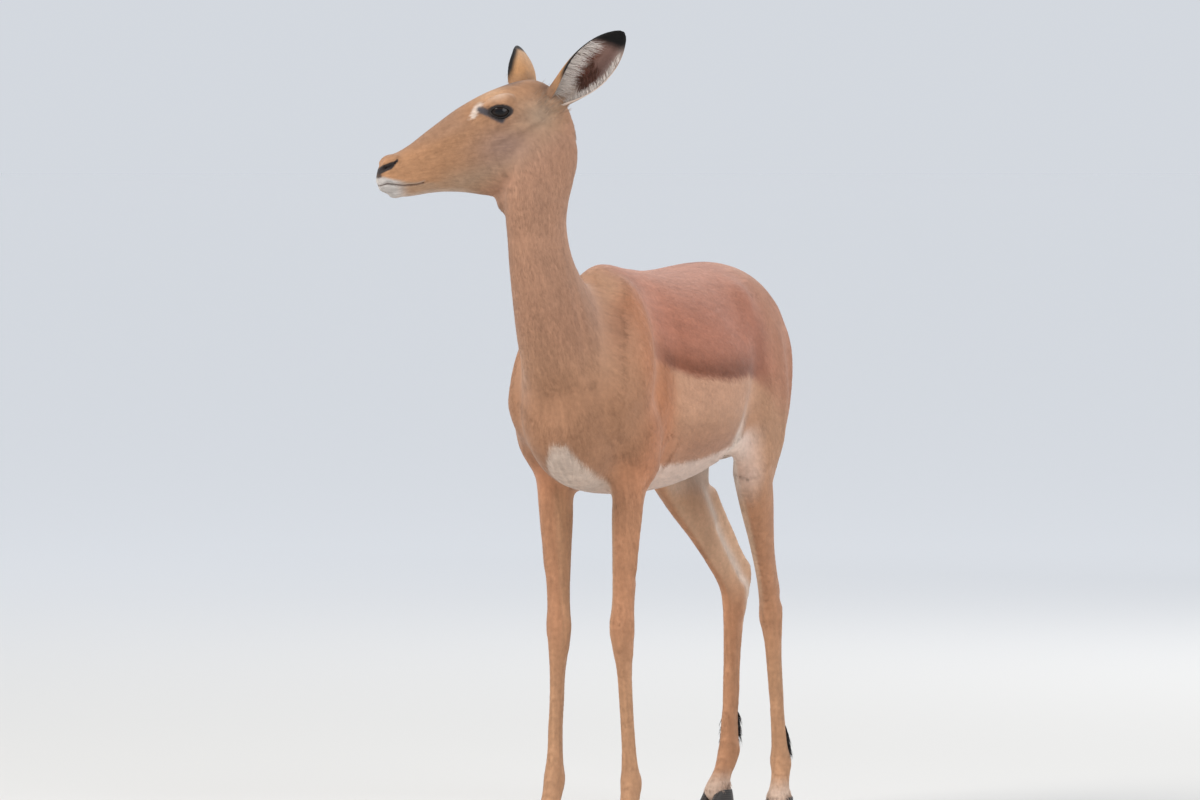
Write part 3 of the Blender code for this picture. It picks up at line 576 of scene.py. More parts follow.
def body_forms():
    """Muscle and bone that show through the coat: path, width and height of each ridge or hollow."""
    found = [([(0, -0.37, 0.69), (0, -0.35, 0.62), (0, -0.315, 0.555)], 0.01, -0.004),
             ([(0, 0.3, 0.6), (0, 0.33, 0.68), (0, 0.372, 0.74)], 0.012, -0.004)]
    for name, s in SIDES:
        found += [([(s * x, y, z) for x, y, z in path], wide, high) for path, wide, high in (
            ([(0.048, -0.188, 0.835), (0.088, -0.225, 0.75), (0.104, -0.262, 0.668)], 0.028, 0.0016),
            ([(0.07, -0.128, 0.815), (0.108, -0.14, 0.72), (0.112, -0.158, 0.64),
              (0.098, -0.17, 0.59)], 0.028, -0.0032),
            ([(0.1, -0.178, 0.7), (0.1, -0.192, 0.62), (0.086, -0.19, 0.575)], 0.022, 0.0032),
            ([(0.05, -0.25, 0.8), (0.086, -0.305, 0.72)], 0.026, -0.0012),
            ([(0.082, -0.325, 0.662), (0.082, -0.32, 0.655)], 0.022, 0.004),
            ([(0.08, -0.176, 0.56), (0.078, -0.176, 0.55)], 0.013, 0.0055),
            ([(0.1, -0.148, 0.59), (0.078, -0.156, 0.535)], 0.009, -0.006),
            ([(0.088, 0.15, 0.815), (0.086, 0.156, 0.812)], 0.026, 0.005),
            ([(0.088, 0.15, 0.815), (0.11, 0.178, 0.74), (0.12, 0.172, 0.665),
              (0.112, 0.165, 0.61)], 0.028, 0.002),
            ([(0.11, 0.085, 0.79), (0.108, 0.075, 0.78)], 0.045, -0.0055),
            ([(0.12, 0.138, 0.72), (0.118, 0.128, 0.64)], 0.028, -0.003),
            ([(0.116, 0.15, 0.64), (0.106, 0.118, 0.59), (0.085, 0.07, 0.56)], 0.014, 0.0034),
            ([(0.045, 0.35, 0.775), (0.045, 0.356, 0.765)], 0.018, 0.004),
            ([(0.085, 0.335, 0.755), (0.1, 0.318, 0.665), (0.09, 0.302, 0.58)], 0.02, -0.0024),
            ([(0.1, 0.255, 0.74), (0.12, 0.25, 0.66), (0.112, 0.25, 0.59)], 0.022, 0.0025),
            ([(0.02, -0.362, 0.7), (0.026, -0.345, 0.62), (0.022, -0.32, 0.57)], 0.016, 0.003),
            ([(0.04, -0.345, 0.98), (0.042, -0.375, 0.88), (0.052, -0.37, 0.78),
              (0.055, -0.36, 0.7)], 0.011, -0.0028))]
        # On the legs, each end of a ridge lies so far to the side, rear and top of a joint.
        elbow, carpus, low, _, fore_yaw = FORE[name]
        stifle, hock, fetlock, _, hind_yaw = HIND[name]
        for yaw, ways, rows in (
                (hind_yaw, (-1, 1), (
                    (between(stifle, hock, 0.52), (0.016, 0.026),
                     between(stifle, hock, 0.92), (0.014, 0.02), 0.008, -0.0055),
                    (hock, (0.017, 0), hock, (0.016, -0.006, -0.018), 0.009, 0.0022),
                    (hock, (0.013, 0.004, -0.05), fetlock, (0.012, 0.003, 0.024), 0.006, -0.0022),
                    (fetlock, (0.014, 0), fetlock, (0.014, 0, 0.004), 0.009, 0.0016))),
                (fore_yaw, (-1, 1), (
                    (carpus, (0.012, 0.004, -0.045), low, (0.012, 0.003, 0.022), 0.006, -0.0022),
                    (carpus, (0.017, -0.004, 0.014), carpus, (0.017, -0.004, -0.006), 0.008, 0.0016),
                    (low, (0.014, 0), low, (0.014, 0, 0.004), 0.009, 0.0016))),
                (fore_yaw, (s,), (
                    (between(elbow, carpus, 0.1), (0.024, -0.012),
                     between(elbow, carpus, 0.62), (0.018, -0.006), 0.009, 0.0022),
                    (between(elbow, carpus, 0.12), (0.026, 0.01),
                     between(elbow, carpus, 0.66), (0.018, 0.008), 0.007, -0.0022))),
                (hind_yaw, (s,), ((stifle, (0.02, -0.03), stifle, (0.016, -0.034, -0.02), 0.014, 0.003),))):
            found += [([beside(start, yaw, way * a, *rest_a), beside(end, yaw, way * b, *rest_b)], wide, high)
                      for start, (a, *rest_a), end, (b, *rest_b), wide, high in rows for way in ways]
    return found


# The left nostril and the left half of the mouth, from the front back, in the head's directions.
NOSTRIL = ((0.1925, 0.008, -0.0185), (0.1848, 0.0127, -0.0172), (0.1783, 0.0155, -0.017),
           (0.1697, 0.0172, -0.0152), (0.1641, 0.0173, -0.0125))
NOSTRILS = [np.array([(f, s * l, u) for f, l, u in NOSTRIL]) for s in (-1, 1)]
MOUTH = ((0.2, 0.0, -0.039), (0.189, 0.014, -0.0395), (0.1703, 0.0185, -0.049),
         (0.1506, 0.02, -0.0548), (0.1385, 0.02, -0.0562))


def face_forms():
    """The same for the face, in the head's directions."""
    found = [
        ([(0.196, 0, -0.022), (0.2005, 0, -0.039)], 0.0014, -0.0016),
        ([(0.186, 0, -0.008), (0.162, 0, 0.001)], 0.006, -0.001),
    ]
    for s in (-1, 1):
        found += [([(f, s * l, u) for f, l, u in path], wide, high) for path, wide, high in (
            ([(f, l, u) for f, l, u in MOUTH], 0.0017, -0.003),
            ([(f, l, u + 0.0055) for f, l, u in MOUTH[1:]], 0.004, 0.0013),
            ([(f, l, u - 0.005) for f, l, u in MOUTH[1:]], 0.003, 0.0008),
            ([MOUTH[-1], (0.132, 0.0235, -0.0575)], 0.004, -0.0012),
            ([(f, l, u) for f, l, u in NOSTRIL[1:4]], 0.0028, -0.0055),
            ([(f, l, u) for f, l, u in NOSTRIL], 0.0016, -0.002),
            ([(f - 0.002, l, u + 0.0068) for f, l, u in NOSTRIL[1:]], 0.003, 0.0007),
            ([(f - 0.001, l + 0.004, u - 0.0062) for f, l, u in NOSTRIL[1:]], 0.003, 0.001),
            ([(0.03, 0.037, -0.035), (-0.01, 0.045, -0.034), (-0.048, 0.044, -0.03)], 0.006, 0.0018),
            ([(0.033, 0.036, -0.046), (0.09, 0.029, -0.048)], 0.007, 0.0012),
            ([(0.04, 0.031, -0.056), (0.033, 0.033, -0.085), (0.008, 0.028, -0.112)], 0.006, -0.0018),
            ([(0.015, 0.024, 0.02), (0.07, 0.019, 0.006), (0.13, 0.014, -0.01)], 0.006, -0.0014),
            ([(0.062, 0.03, -0.02), (0.115, 0.024, -0.026)], 0.009, -0.0016),
            ([(0.02, 0.037, 0.002), (0.028, 0.03, 0.01)], 0.0045, -0.002),
            ([(-0.04, 0.042, 0.006), (-0.048, 0.04, 0.004)], 0.011, -0.003),
            ([(-0.03, 0.025, 0.03), (0.005, 0.022, 0.032)], 0.01, 0.0014),
            ([(0.02, 0.03, 0.018), (0.002, 0.04, 0.024), (-0.02, 0.041, 0.022)], 0.006, 0.0018))]
    return [([in_head(*place) for place in path], wide, high) for path, wide, high in found]


def shaped(points, quads, forms):
    """Moves points along their normals by height * exp(-(distance / width)^2) from each path."""
    ways = normals_of(points, quads)
    rise = np.zeros(len(points))
    for path, wide, high in forms:
        path = np.asarray(path, float)
        near = np.flatnonzero(((points > path.min(0) - 3 * wide) & (points < path.max(0) + 3 * wide)).all(1))
        rise[near] += high * np.exp(-(to_path(points[near], path) / wide) ** 2)
    return points + ways * rise[:, None]


def coat_depth(points):
    """How far the coat stands above the skin: least on the face and feet, most on the body and tail."""
    place = of_head(points)
    on_face = fall(np.linalg.norm(points - in_head(0.06, 0, -0.03), axis=1), 0.1, 0.24)
    low = fall(points[:, 2], 0.1, 0.5)
    depth = 0.0018 - 0.0012 * on_face - 0.001 * low
    behind = ramp(points[:, 1], 0.385, 0.4) * ramp(points[:, 2], 0.45, 0.53)
    muzzle = ramp(place[:, 0], 0.15, 0.18) * on_face
    return depth + 0.0028 * behind - 0.0004 * muzzle


def make_skin():
    """The joined lofts, eased, given their muscle and bone, drawn in by the coat's depth and finished
    on the face."""
    points, quads, edges = one_surface()
    far = np.linalg.norm(points - in_head(0.05, 0, -0.03), axis=1)
    trunk_share = ramp(points[:, 2], 0.5, 0.6) * ramp(far, 0.16, 0.28)
    share = (0.1 + 0.16 * ramp(far, 0.13, 0.24) + 0.38 * trunk_share)[:, None]
    points = kept_girth(points, eased(points, edges, 40, share), quads, edges)
    points = shaped(points, quads, body_forms())
    points = eased(points, edges, 2, 0.4 * ramp(far, 0.13, 0.24)[:, None])
    points = points - normals_of(points, quads) * coat_depth(points)[:, None]
    points = settled_round_eyes(shaped(points, quads, face_forms()))
    return points, quads


# ---- markings and the lie of the coat

# Some tones are painted light: the paler top of the saddle is partly painted sheen; the darker lower neck and
# chest are partly painted shade; the greyer cheek under the eye and the stripes before the ear are painted
# shade; the saddle's dark edge tone is also laid as painted shade in the hollow before the haunch.
TONES = {name: linear(code) for name, code in {
    "tan": "#b58a6c", "saddle": "#ad7058", "saddle top and sheen": "#b57d66", "saddle edge and hip shade": "#744028",
    "haunch": "#b27e63", "flank": "#c29376", "flank low": "#a97a5e", "white": "#d3c0b1", "belly": "#d3b8a8",
    "shoulder": "#b37653", "neck": "#ac8167", "neck dark and shade": "#a2765c", "chest and shade": "#9d7154",
    "leg": "#b4805e", "leg pale": "#be926f", "inside": "#d2ae90", "fold_shade": "#a87b5c", "black": "#1d1614",
    "brown": "#4a342b", "ink": "#0e0b0a",
    "face": "#a57957", "muzzle": "#b3845f", "bridge": "#967259", "forehead": "#c39a77", "cheek": "#9b7c6c",
    "jaw": "#a2866e", "behind eye": "#9c846f", "ear root": "#82624b", "crown": "#4f3d35",
    "lip": "#b9b1ab", "bare": "#2b2322", "slate": "#45444a", "rump line": "#7a4a38",
}.items()}
# The saddle's lower edge and the belly's upper edge: heights against places along the trunk.
SADDLE_Y = (-0.3, -0.19, -0.1, 0.0, 0.1, 0.2, 0.3, 0.4)
SADDLE_Z = (0.775, 0.715, 0.692, 0.685, 0.69, 0.672, 0.65, 0.64)
BELLY_EDGE_Y = (-0.36, -0.3, -0.19, -0.03, 0.08, 0.16, 0.3)
BELLY_EDGE_Z = (0.56, 0.558, 0.557, 0.567, 0.581, 0.604, 0.612)
# The white of lips and chin ends at a line that drops towards the corner of the mouth.
LIP_F = (0.12, 0.145, 0.163, 0.179, 0.191, 0.198)
LIP_U = (-0.063, -0.053, -0.046, -0.0375, -0.029, -0.0265)
SHIN_BACK = {"left": 0.007, "right": 0.001}   # how far the hind cannon leans back below the hock
# The painted shade of the folds before the ear comes in stripes this far apart.
FOLD_SHADE_GAP = 0.0042                          # between the folds of skin before the ear


def spot(place, centre, radii):
    """1 at the centre of an ellipsoid, falling as a bell to nothing outside it."""
    return np.exp(-(((place - centre) / radii) ** 2).sum(1))


def head_share(points):
    """0 on the neck and 1 on the head, by the distance past a plane behind the jaw."""
    return ramp((points - (-0.02, -0.383, 1.022)) @ unit(np.array([-0.5, -0.4, 0.77])), -0.005, 0.035)


GLAND_Z = (0.119, 0.132)                      # heights of the left and the right scent patch


def gland(points, ways):
    """1 in the dark scent patch at the back of each hind cannon, 5 cm tall."""
    x, y, z = points.T
    middle = np.where(x > 0, *GLAND_Z)
    return ramp(y, 0.2, 0.25) * fall(np.abs(z - middle), 0.018, 0.027) * ramp(ways[:, 1], 0.15, 0.45)


def lay_trunk(lay, points):
    """The tones of trunk and neck: a red saddle over paler flanks, between tan shoulders and haunches, with
    painted sheen on the top of the back and painted shade low on the neck, on the chest and in the hollow
    before the haunch.
    """
    x, y, z = points.T
    body = band(z, 0.44, 0.56, 0.93, 0.99)
    lay("flank", body * band(y, -0.17, -0.12, 0.1, 0.19) * ramp(z, 0.6, 0.66))
    lay("flank low", body * band(y, -0.19, -0.14, 0.12, 0.2) * fall(z, 0.585, 0.65))
    lay("shoulder", 0.9 * body * fall(y, -0.17, -0.13) * ramp(y, -0.33, -0.24) * ramp(np.abs(x), 0.03, 0.07))
    edge = np.interp(y, SADDLE_Y, SADDLE_Z)
    soft = 0.008 + 0.07 * ramp(y, 0.13, 0.28)
    above = ramp(z, edge - soft, edge + soft) * ramp(y, -0.235, -0.14) * body
    lay("saddle", above)
    lay("saddle edge and hip shade", 0.85 * above * fall(z, edge + 0.005, edge + 0.05) * fall(y, 0.1, 0.24))
    # Partly painted sheen: the top of the back is laid paler than the rest of the saddle.
    lay("saddle top and sheen", 0.8 * above * ramp(z, 0.76, 0.845))
    lay("haunch", 0.85 * body * ramp(y, 0.15, 0.24) * ramp(z, 0.59, 0.72))
    # Painted shade: the saddle's dark edge tone laid as a band across the hollow between flank and haunch.
    lay("saddle edge and hip shade", 0.3 * spot(points, (0, 0.165, 0.72), (0.5, 0.035, 0.06)))
    front = fall(y, -0.3, -0.22)
    lay("neck", ramp(z, 0.7, 0.8) * front)
    # Partly painted shade: a darker patch low on the neck.
    lay("neck dark and shade", 0.8 * spot(points, (0.02, -0.375, 0.76), (0.08, 0.06, 0.075)))
    # Partly painted shade: the chest below the neck is laid darker.
    lay("chest and shade", 0.8 * front * fall(z, 0.66, 0.74) * body)


def lay_legs_and_belly(lay, points, ways):
    """Paler legs, and white beneath: belly, breast, between the thighs and inside the legs."""
    x, y, z = points.T
    wide = np.abs(x)
    inward = -np.sign(x) * ways[:, 0]
    leg = fall(z, 0.46, 0.58)
    lay("leg", leg * 0.9)
    lay("inside", 0.75 * leg * ramp(y, 0.1, 0.2) * ramp(inward, 0.0, 0.5) * ramp(z, 0.3, 0.4))
    lay("leg pale", 0.7 * fall(z, 0.2, 0.36) * (1 - 0.7 * ramp(y, 0.4, 0.44)))
    under = np.interp(y, BELLY_EDGE_Y, BELLY_EDGE_Z)
    thin = 0.004 + 0.02 * ramp(y, 0.12, 0.2)
    lay("belly", fall(z, under - thin, under + thin) * ramp(z, 0.47, 0.5) * band(y, -0.3, -0.24, 0.14, 0.2)
        * (1 - ramp(wide, 0.022, 0.034) * fall(y, -0.19, -0.165)))
    breast = np.interp(z, (0.52, 0.56, 0.6), (0.036, 0.032, 0.01))
    lay("white", 0.85 * band(z, 0.46, 0.5, 0.588, 0.604) * fall(y, -0.26, -0.2)
        * fall(np.abs(x - 0.006), breast - 0.006, breast + 0.006))
    lay("white", 0.95 * ramp(inward, 0.3, 0.62) * band(z, 0.485, 0.545, 0.66, 0.72) * ramp(y, 0.1, 0.16))
    shin = np.zeros(len(points))
    for name, side in SIDES:
        stifle, hock = HIND[name][:2]
        shin = np.where(side * x > 0, np.interp(z, (0.2, hock[2], stifle[2]), (hock[1] + SHIN_BACK[name],
                                                                                  hock[1], stifle[1])), shin)
    lay("white", 0.85 * ramp(inward, 0.1, 0.45) * band(z, 0.24, 0.33, 0.5, 0.54) * ramp(y, 0.1, 0.2)
        * bell(y, shin + 0.021, 0.013))
    lay("leg pale", 0.7 * ramp(inward, 0.4, 0.85) * band(z, 0.2, 0.36, 0.5, 0.55) * fall(y, -0.14, -0.08))
    lay("white", 0.9 * spot(np.stack([wide, y, z], 1), (0.1, 0.108, 0.585), (0.05, 0.02, 0.045)))
    lay("white", ramp(-ways[:, 2], 0.2, 0.6) * ramp(y, 0.14, 0.2) * ramp(z, 0.49, 0.52)
        * fall(wide, 0.05, 0.075))
    lay("white", 0.6 * fall(z, 0.04, 0.072))


def lay_rump(lay, points, ways):
    """White round the tail with a black line down each buttock, a dark line on the croup, the tail's own
    tan root and black middle, and the scent patches."""
    x, y, z = points.T
    wide = np.abs(x)
    rear = ramp(y, 0.335, 0.365) * ramp(z, 0.5, 0.56)
    patch = np.interp(z, (0.56, 0.7, 0.76, 0.8), (0.052, 0.052, 0.044, 0.02))
    lay("white", rear * fall(wide, patch - 0.005, patch + 0.005) * fall(z, 0.77, 0.8))
    lay("white", ramp(ways[:, 1], 0.0, 0.3) * ramp(y, 0.2, 0.23) * band(z, 0.49, 0.53, 0.7, 0.76)
        * fall(wide, 0.04, 0.052))
    line = 0.052 + 0.008 * np.sin((z - 0.55) / 0.22 * np.pi)
    lay("black", rear * bell(wide, line, 0.0075) * band(z, 0.57, 0.6, 0.755, 0.785))
    lay("rump line", 0.55 * bell(x, 0, 0.006) * ramp(y, 0.08, 0.2) * ramp(z, 0.8, 0.83))
    on_tail = ramp(y, 0.388, 0.393) * fall(wide, 0.022, 0.028) * ramp(z, 0.5, 0.53)
    lay("white", on_tail)
    lay("saddle", on_tail * ramp(z, 0.7, 0.77) * ramp(ways[:, 1], 0.0, 0.5))
    lay("black", on_tail * bell(x, 0, 0.0065) * ramp(ways[:, 1], 0.1, 0.5))
    lay("black", 1.6 * gland(points, ways))


def lay_head(lay, points, ways):
    """The face's tones, the white streak and dark patch before each eye, pale lips, and bare skin, with
    painted shade on the cheek under the eye and in the skin folds before the ear.
    """
    face = of_head(points)
    face[:, 1] = np.abs(face[:, 1])
    f, l, u = face.T
    on_head = head_share(points)
    lay("face", on_head)
    lay("jaw", on_head * 0.8 * fall(u, -0.078, -0.04) * fall(f, 0.09, 0.15))
    lay("muzzle", on_head * ramp(f, 0.1, 0.16) * 0.8)
    lay("bridge", on_head * ramp(u, -0.016, 0.006) * ramp(f, 0.03, 0.07) * 0.8)
    # The greyer cheek under the eye is painted shade.
    for name, much, centre, radii in (
            ("cheek", 0.9, (0.01, 0.04, -0.045), (0.052, 0.05, 0.032)),
            ("behind eye", 0.9, (-0.052, 0.04, -0.018), (0.032, 0.05, 0.03)),
            ("forehead", 0.9, (0.004, 0.02, 0.03), (0.026, 0.03, 0.014)),
            ("ear root", 0.8, (-0.072, 0.03, 0.01), (0.022, 0.03, 0.018)),
            ("crown", 0.85, (-0.034, 0.0, 0.036), (0.018, 0.021, 0.014))):
        lay(name, much * spot(face, centre, radii))
    # Painted shade: darker stripes for the creases of the skin folds before the ear.
    fold_shade = 0.5 + 0.5 * np.sin(2 * np.pi * (f + 0.25 * u) / FOLD_SHADE_GAP)
    lay("fold_shade", 0.45 * fold_shade * on_head * spot(face, (-0.046, 0.032, 0.012), (0.013, 0.03, 0.016)))
    flat = face * (1, 0, 1)
    streak = to_path(flat, np.array([(0.041, 0, 0.0095), (0.0325, 0, 0.0175), (0.024, 0, 0.0228)]))
    lay("white", 0.92 * fall(streak, 0.0022, 0.0052) * ramp(l, 0.016, 0.024))
    patch = to_path(flat, np.array([(0.006, 0, -0.008), (0.0165, 0, 0.0045), (0.0265, 0, 0.014)]))
    lay("slate", 0.95 * fall(patch, 0.003, 0.0075) * ramp(l, 0.016, 0.024))
    lay("white", 0.35 * spot(face, (-0.004, 0.045, 0.026), (0.016, 0.012, 0.006)))
    lay("forehead", 0.3 * spot(face, (-0.01, 0.045, -0.026), (0.018, 0.012, 0.006)))
    lip_line = np.interp(f, LIP_F, LIP_U)
    beneath = on_head * fall(u, lip_line - 0.003, lip_line + 0.003)
    lay("jaw", 0.7 * beneath * ramp(f, 0.1, 0.13))
    lay("lip", beneath * ramp(f, 0.158, 0.184))
    lay("white", on_head * 0.45 * fall(ways @ HEAD_AXES[:, 2], -0.95, -0.6) * ramp(f, 0.02, 0.08))
    lay("white", 0.85 * spot(face, (-0.004, 0.0, -0.122), (0.026, 0.024, 0.022)))
    lay("brown", 0.75 * on_head * fall(to_path(flat, np.array(MOUTH) * (1, 0, 1)), 0.0006, 0.0018))
    for path in NOSTRILS:
        lay("bare", nostril_share(points, path))
    lay("bare", 0.9 * ramp(f, 0.19, 0.194) * band(u, -0.03, -0.027, -0.0215, -0.019) * fall(l, 0.01, 0.013))
    for _, side in SIDES:
        lay("bare", fall(round_eye(points, side, 0.0026, 0.0016), 0.92, 1.08))


def markings(points, ways):
    """The colour of the coat at each place, laid on tone over tone: colour + mask * (tone - colour), with
    masks from its height, side and distance to named places. Hair and skin both take theirs from here."""
    colour = np.tile(TONES["tan"], (len(points), 1))

    def lay(name, mask):
        nonlocal colour
        colour = colour + np.clip(mask, 0, 1)[:, None] * (TONES[name] - colour)

    lay_trunk(lay, points)
    lay_legs_and_belly(lay, points, ways)
    lay_rump(lay, points, ways)
    lay_head(lay, points, ways)
    return colour


def nostril_share(points, path):
    """1 on the bare skin round a nostril, whose edge lies 5.4 mm from it in front and 1.8 mm at its end.
    Depth into the muzzle counts for less, so that the hollow is bare to its floor."""
    local = of_head(points)
    edge = 0.0018 + 0.0036 * ramp(local[:, 0], 0.165, 0.178)
    flatter = np.array([1, 0.5, 1])
    return fall(to_path(local * flatter, path * flatter) / edge, 0.75, 1.15)


def bones():
    """Paths along which the coat lies: path, reach, and the way the hair points (None: along the path)."""
    found = [
        ([(0, -0.28, 0.7), (0, 0.36, 0.73)], 0.12, (0, 1, -0.55)),
        ([(-0.015, -0.385, 1.05), (-0.012, -0.383, 0.9), (0, -0.345, 0.78)], 0.06, None),
        ([(0, -0.35, 0.74), (0, -0.31, 0.56)], 0.055, (0, 0.1, -1)),
        ([in_head(0.18, 0, -0.04), in_head(-0.08, 0, -0.035)], 0.048, None),
        ([(0, 0.4, 0.78), (0, 0.404, 0.7), (0, 0.388, 0.55)], 0.016, (0, 0, -1))]
    for name, s in SIDES:
        stifle, hock, fetlock, toe, _ = HIND[name]
        elbow, carpus, fore_fetlock, fore_toe, _ = FORE[name]
        found += [([(s * 0.075, -0.225, 0.79), (s * 0.08, -0.23, 0.6)], 0.05, (0, 0.35, -1)),
                  ([elbow, carpus], 0.034, None), ([carpus, fore_fetlock], 0.022, None),
                  ([fore_fetlock, fore_toe], 0.02, None),
                  ([(s * 0.085, 0.29, 0.76), (s * 0.085, 0.26, 0.6)], 0.07, (0, 0.4, -1)),
                  ([stifle, hock], 0.036, None), ([hock, fetlock], 0.024, None),
                  ([fetlock, toe], 0.02, None)]
    return [(np.asarray(path, float), reach, way) for path, reach, way in found]


BONES = bones()


def lie(points, ways):
    """The direction of the hair at each place: each bone's direction, weighed by exp(-(distance/reach)^2),
    laid flat on the skin."""
    total = np.zeros_like(points)
    for path, reach, way in BONES:
        way = None if way is None else unit(np.array(way, float))
        away = np.full(len(points), FAR)
        course = np.zeros_like(points)
        for start, end in zip(path[:-1], path[1:]):
            run = end - start
            t = np.clip((points - start) @ run / (run @ run), 0, 1)
            d = np.linalg.norm(points - start - t[:, None] * run, axis=1)
            course = np.where((d < away)[:, None], unit(run) if way is None else way, course)
            away = np.minimum(away, d)
        total += (np.exp(-np.minimum((away / reach) ** 2, 60)) + 1e-30)[:, None] * course
    total -= ways * (total * ways).sum(1, keepdims=True)
    return unit(total)


# ---- finishes

def node(tree, kind, settings=None, inputs=None, links=None):
    """Adds a node, with its settings, its own socket values and the outputs linked into it."""
    made = tree.nodes.new("ShaderNode" + kind)
    for name, value in (settings or {}).items():
        setattr(made, name, value)
    for name, value in (inputs or {}).items():
        made.inputs[name].default_value = value
    for name, output in (links or {}).items():
        tree.links.new(output, made.inputs[name])
    return made


def finish_of(name, inputs):
    """A material named for the real thing, with its tree and its shader, whose fixed values are set."""
    made = bpy.data.materials.new(name)
    made.use_nodes = True
    shader = made.node_tree.nodes["Principled BSDF"]
    for socket, value in inputs.items():
        shader.inputs[socket].default_value = value
    return made, made.node_tree, shader


def mottled(tree, base, scale, low, high, detail=3.0):
    """The base colour times a noise that runs from low to high."""
    place = node(tree, "TexCoord").outputs["Object"]
    noise = node(tree, "TexNoise", inputs={"Scale": scale, "Detail": detail}, links={"Vector": place})
    spread = node(tree, "MapRange", inputs={"From Min": 0.3, "From Max": 0.7, "To Min": low, "To Max": high},
                  links={"Value": noise.outputs["Fac"]})
    times = node(tree, "VectorMath", {"operation": "SCALE"},
                 links={"Vector": base, "Scale": spread.outputs["Result"]})
    return times.outputs["Vector"]


def hair_finish(name, roughness, sheen, bump):
    """Short guard hair: matt keratin with a pale sheen where it is seen edge on. Its colour is the
    marking's, broken by tufts about 6 mm across, with a fine bump for single hairs, drawn 1.2 mm apart."""
    made, tree, shader = finish_of(name, {"Roughness": roughness, "IOR": 1.45, "Sheen Weight": sheen,
                                          "Sheen Roughness": 0.45, "Sheen Tint": (1.0, 0.93, 0.9, 1),
                                          "Specular IOR Level": 0.3})
    tone = node(tree, "Attribute", {"attribute_name": "coat"})
    mixed = mottled(tree, tone.outputs["Color"], 160.0, 0.93, 1.07)
    mixed = mottled(tree, mixed, 14.0, 0.96, 1.04, 2.0)
    tree.links.new(mixed, shader.inputs["Base Color"])
    place = node(tree, "TexCoord").outputs["Object"]
    fine = node(tree, "TexNoise", inputs={"Scale": 850.0, "Detail": 2.0}, links={"Vector": place})
    relief = node(tree, "Bump", inputs={"Strength": bump, "Distance": 0.0004},
                  links={"Height": fine.outputs["Fac"]})
    tree.links.new(relief.outputs["Normal"], shader.inputs["Normal"])
    return made


HAIR_COAT = hair_finish("short hair coat", 0.72, 0.22, 0.6)
LONG_HAIR = hair_finish("long soft hair", 0.6, 0.15, 0.2)


def bare_skin(name, code, roughness, scale):
    """Bare dark skin, finely pebbled: the grain's cells are 1000 / scale mm across."""
    made, tree, shader = finish_of(name, {"Roughness": roughness, "IOR": 1.45, "Base Color": paint(code)})
    place = node(tree, "TexCoord").outputs["Object"]
    cells = node(tree, "TexVoronoi", inputs={"Scale": scale}, links={"Vector": place})
    shade = node(tree, "Mix", {"data_type": "RGBA"}, {"A": paint(code, 0.7), "B": paint(code, 1.3)},
                 {"Factor": cells.outputs["Distance"]})
    tree.links.new(shade.outputs["Result"], shader.inputs["Base Color"])
    relief = node(tree, "Bump", inputs={"Strength": 0.4, "Distance": 0.0003},
                  links={"Height": cells.outputs["Distance"]})
    tree.links.new(relief.outputs["Normal"], shader.inputs["Normal"])
    return made


RNG = np.random.default_rng(20)


def sides_of(quads):
    """The two ends of each side of each face."""
    return np.vstack([quads[:, (k, (k + 1) % 4)] for k in range(4)]).T


def combed(points, quads, ways, rounds=9, depth=0.045):
    """Faint streaks that run with the hair: random numbers, each round averaged with those of the
    neighbours, weighed by how nearly the neighbour lies along the hair, to the sixth power."""
    course = lie(points, ways)
    a, b = sides_of(quads)
    weight = np.abs((unit(points[b] - points[a]) * course[a]).sum(1)) ** 6 + 1e-6
    value = RNG.normal(0, 1, len(points))
    for _ in range(rounds):
        near = np.bincount(a, weight * value[b], len(points)) / np.bincount(a, weight, len(points))
        value = 0.3 * value + 0.7 * near
    return depth * (value / value.std())[:, None]


skin_points, skin_quads = make_skin()
skin_ways = normals_of(skin_points, skin_quads)
STREAKS = combed(skin_points, skin_quads, skin_ways)
skin_mesh = mesh_of("skin", skin_points + PLAN_TO_ROW, [skin_quads])
lay_colours(skin_mesh, markings(skin_points, skin_ways) * (1 + STREAKS))
skin = piece("skin", skin_mesh, HAIR_COAT)
FLESH = ["head", "neck", "trunk", "tail"] + [f"{leg}_{part}_{name}" for leg in ("foreleg", "hindleg")
         for part in ("upper", "cannon", "pastern") for name, _ in SIDES]
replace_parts(skin, *FLESH)


# ---- eyes and lids

def eyeball(side):
    """A ball whose radius grows by 5% towards its gaze, where the cornea bulges: rings round the gaze."""
    centre, axes = eye_frame(side)
    turn = np.linspace(0.02, np.pi - 0.02, 40)[:, None]
    round_ = np.linspace(0, 2 * np.pi, 48, endpoint=False)[None, :]
    r = EYE_RADIUS * (0.985 + 0.05 * np.exp(-(turn / 0.45) ** 2))
    local = np.stack([r * np.sin(turn) * np.cos(round_), r * np.sin(turn) * np.sin(round_),
                      r * np.cos(turn) * np.ones_like(round_)], -1)
    points, faces = closed(local)
    plan = points[:, :2] / EYE_RADIUS
    points = centre + points @ axes.T
    return points, outward(points - centre, faces), plan


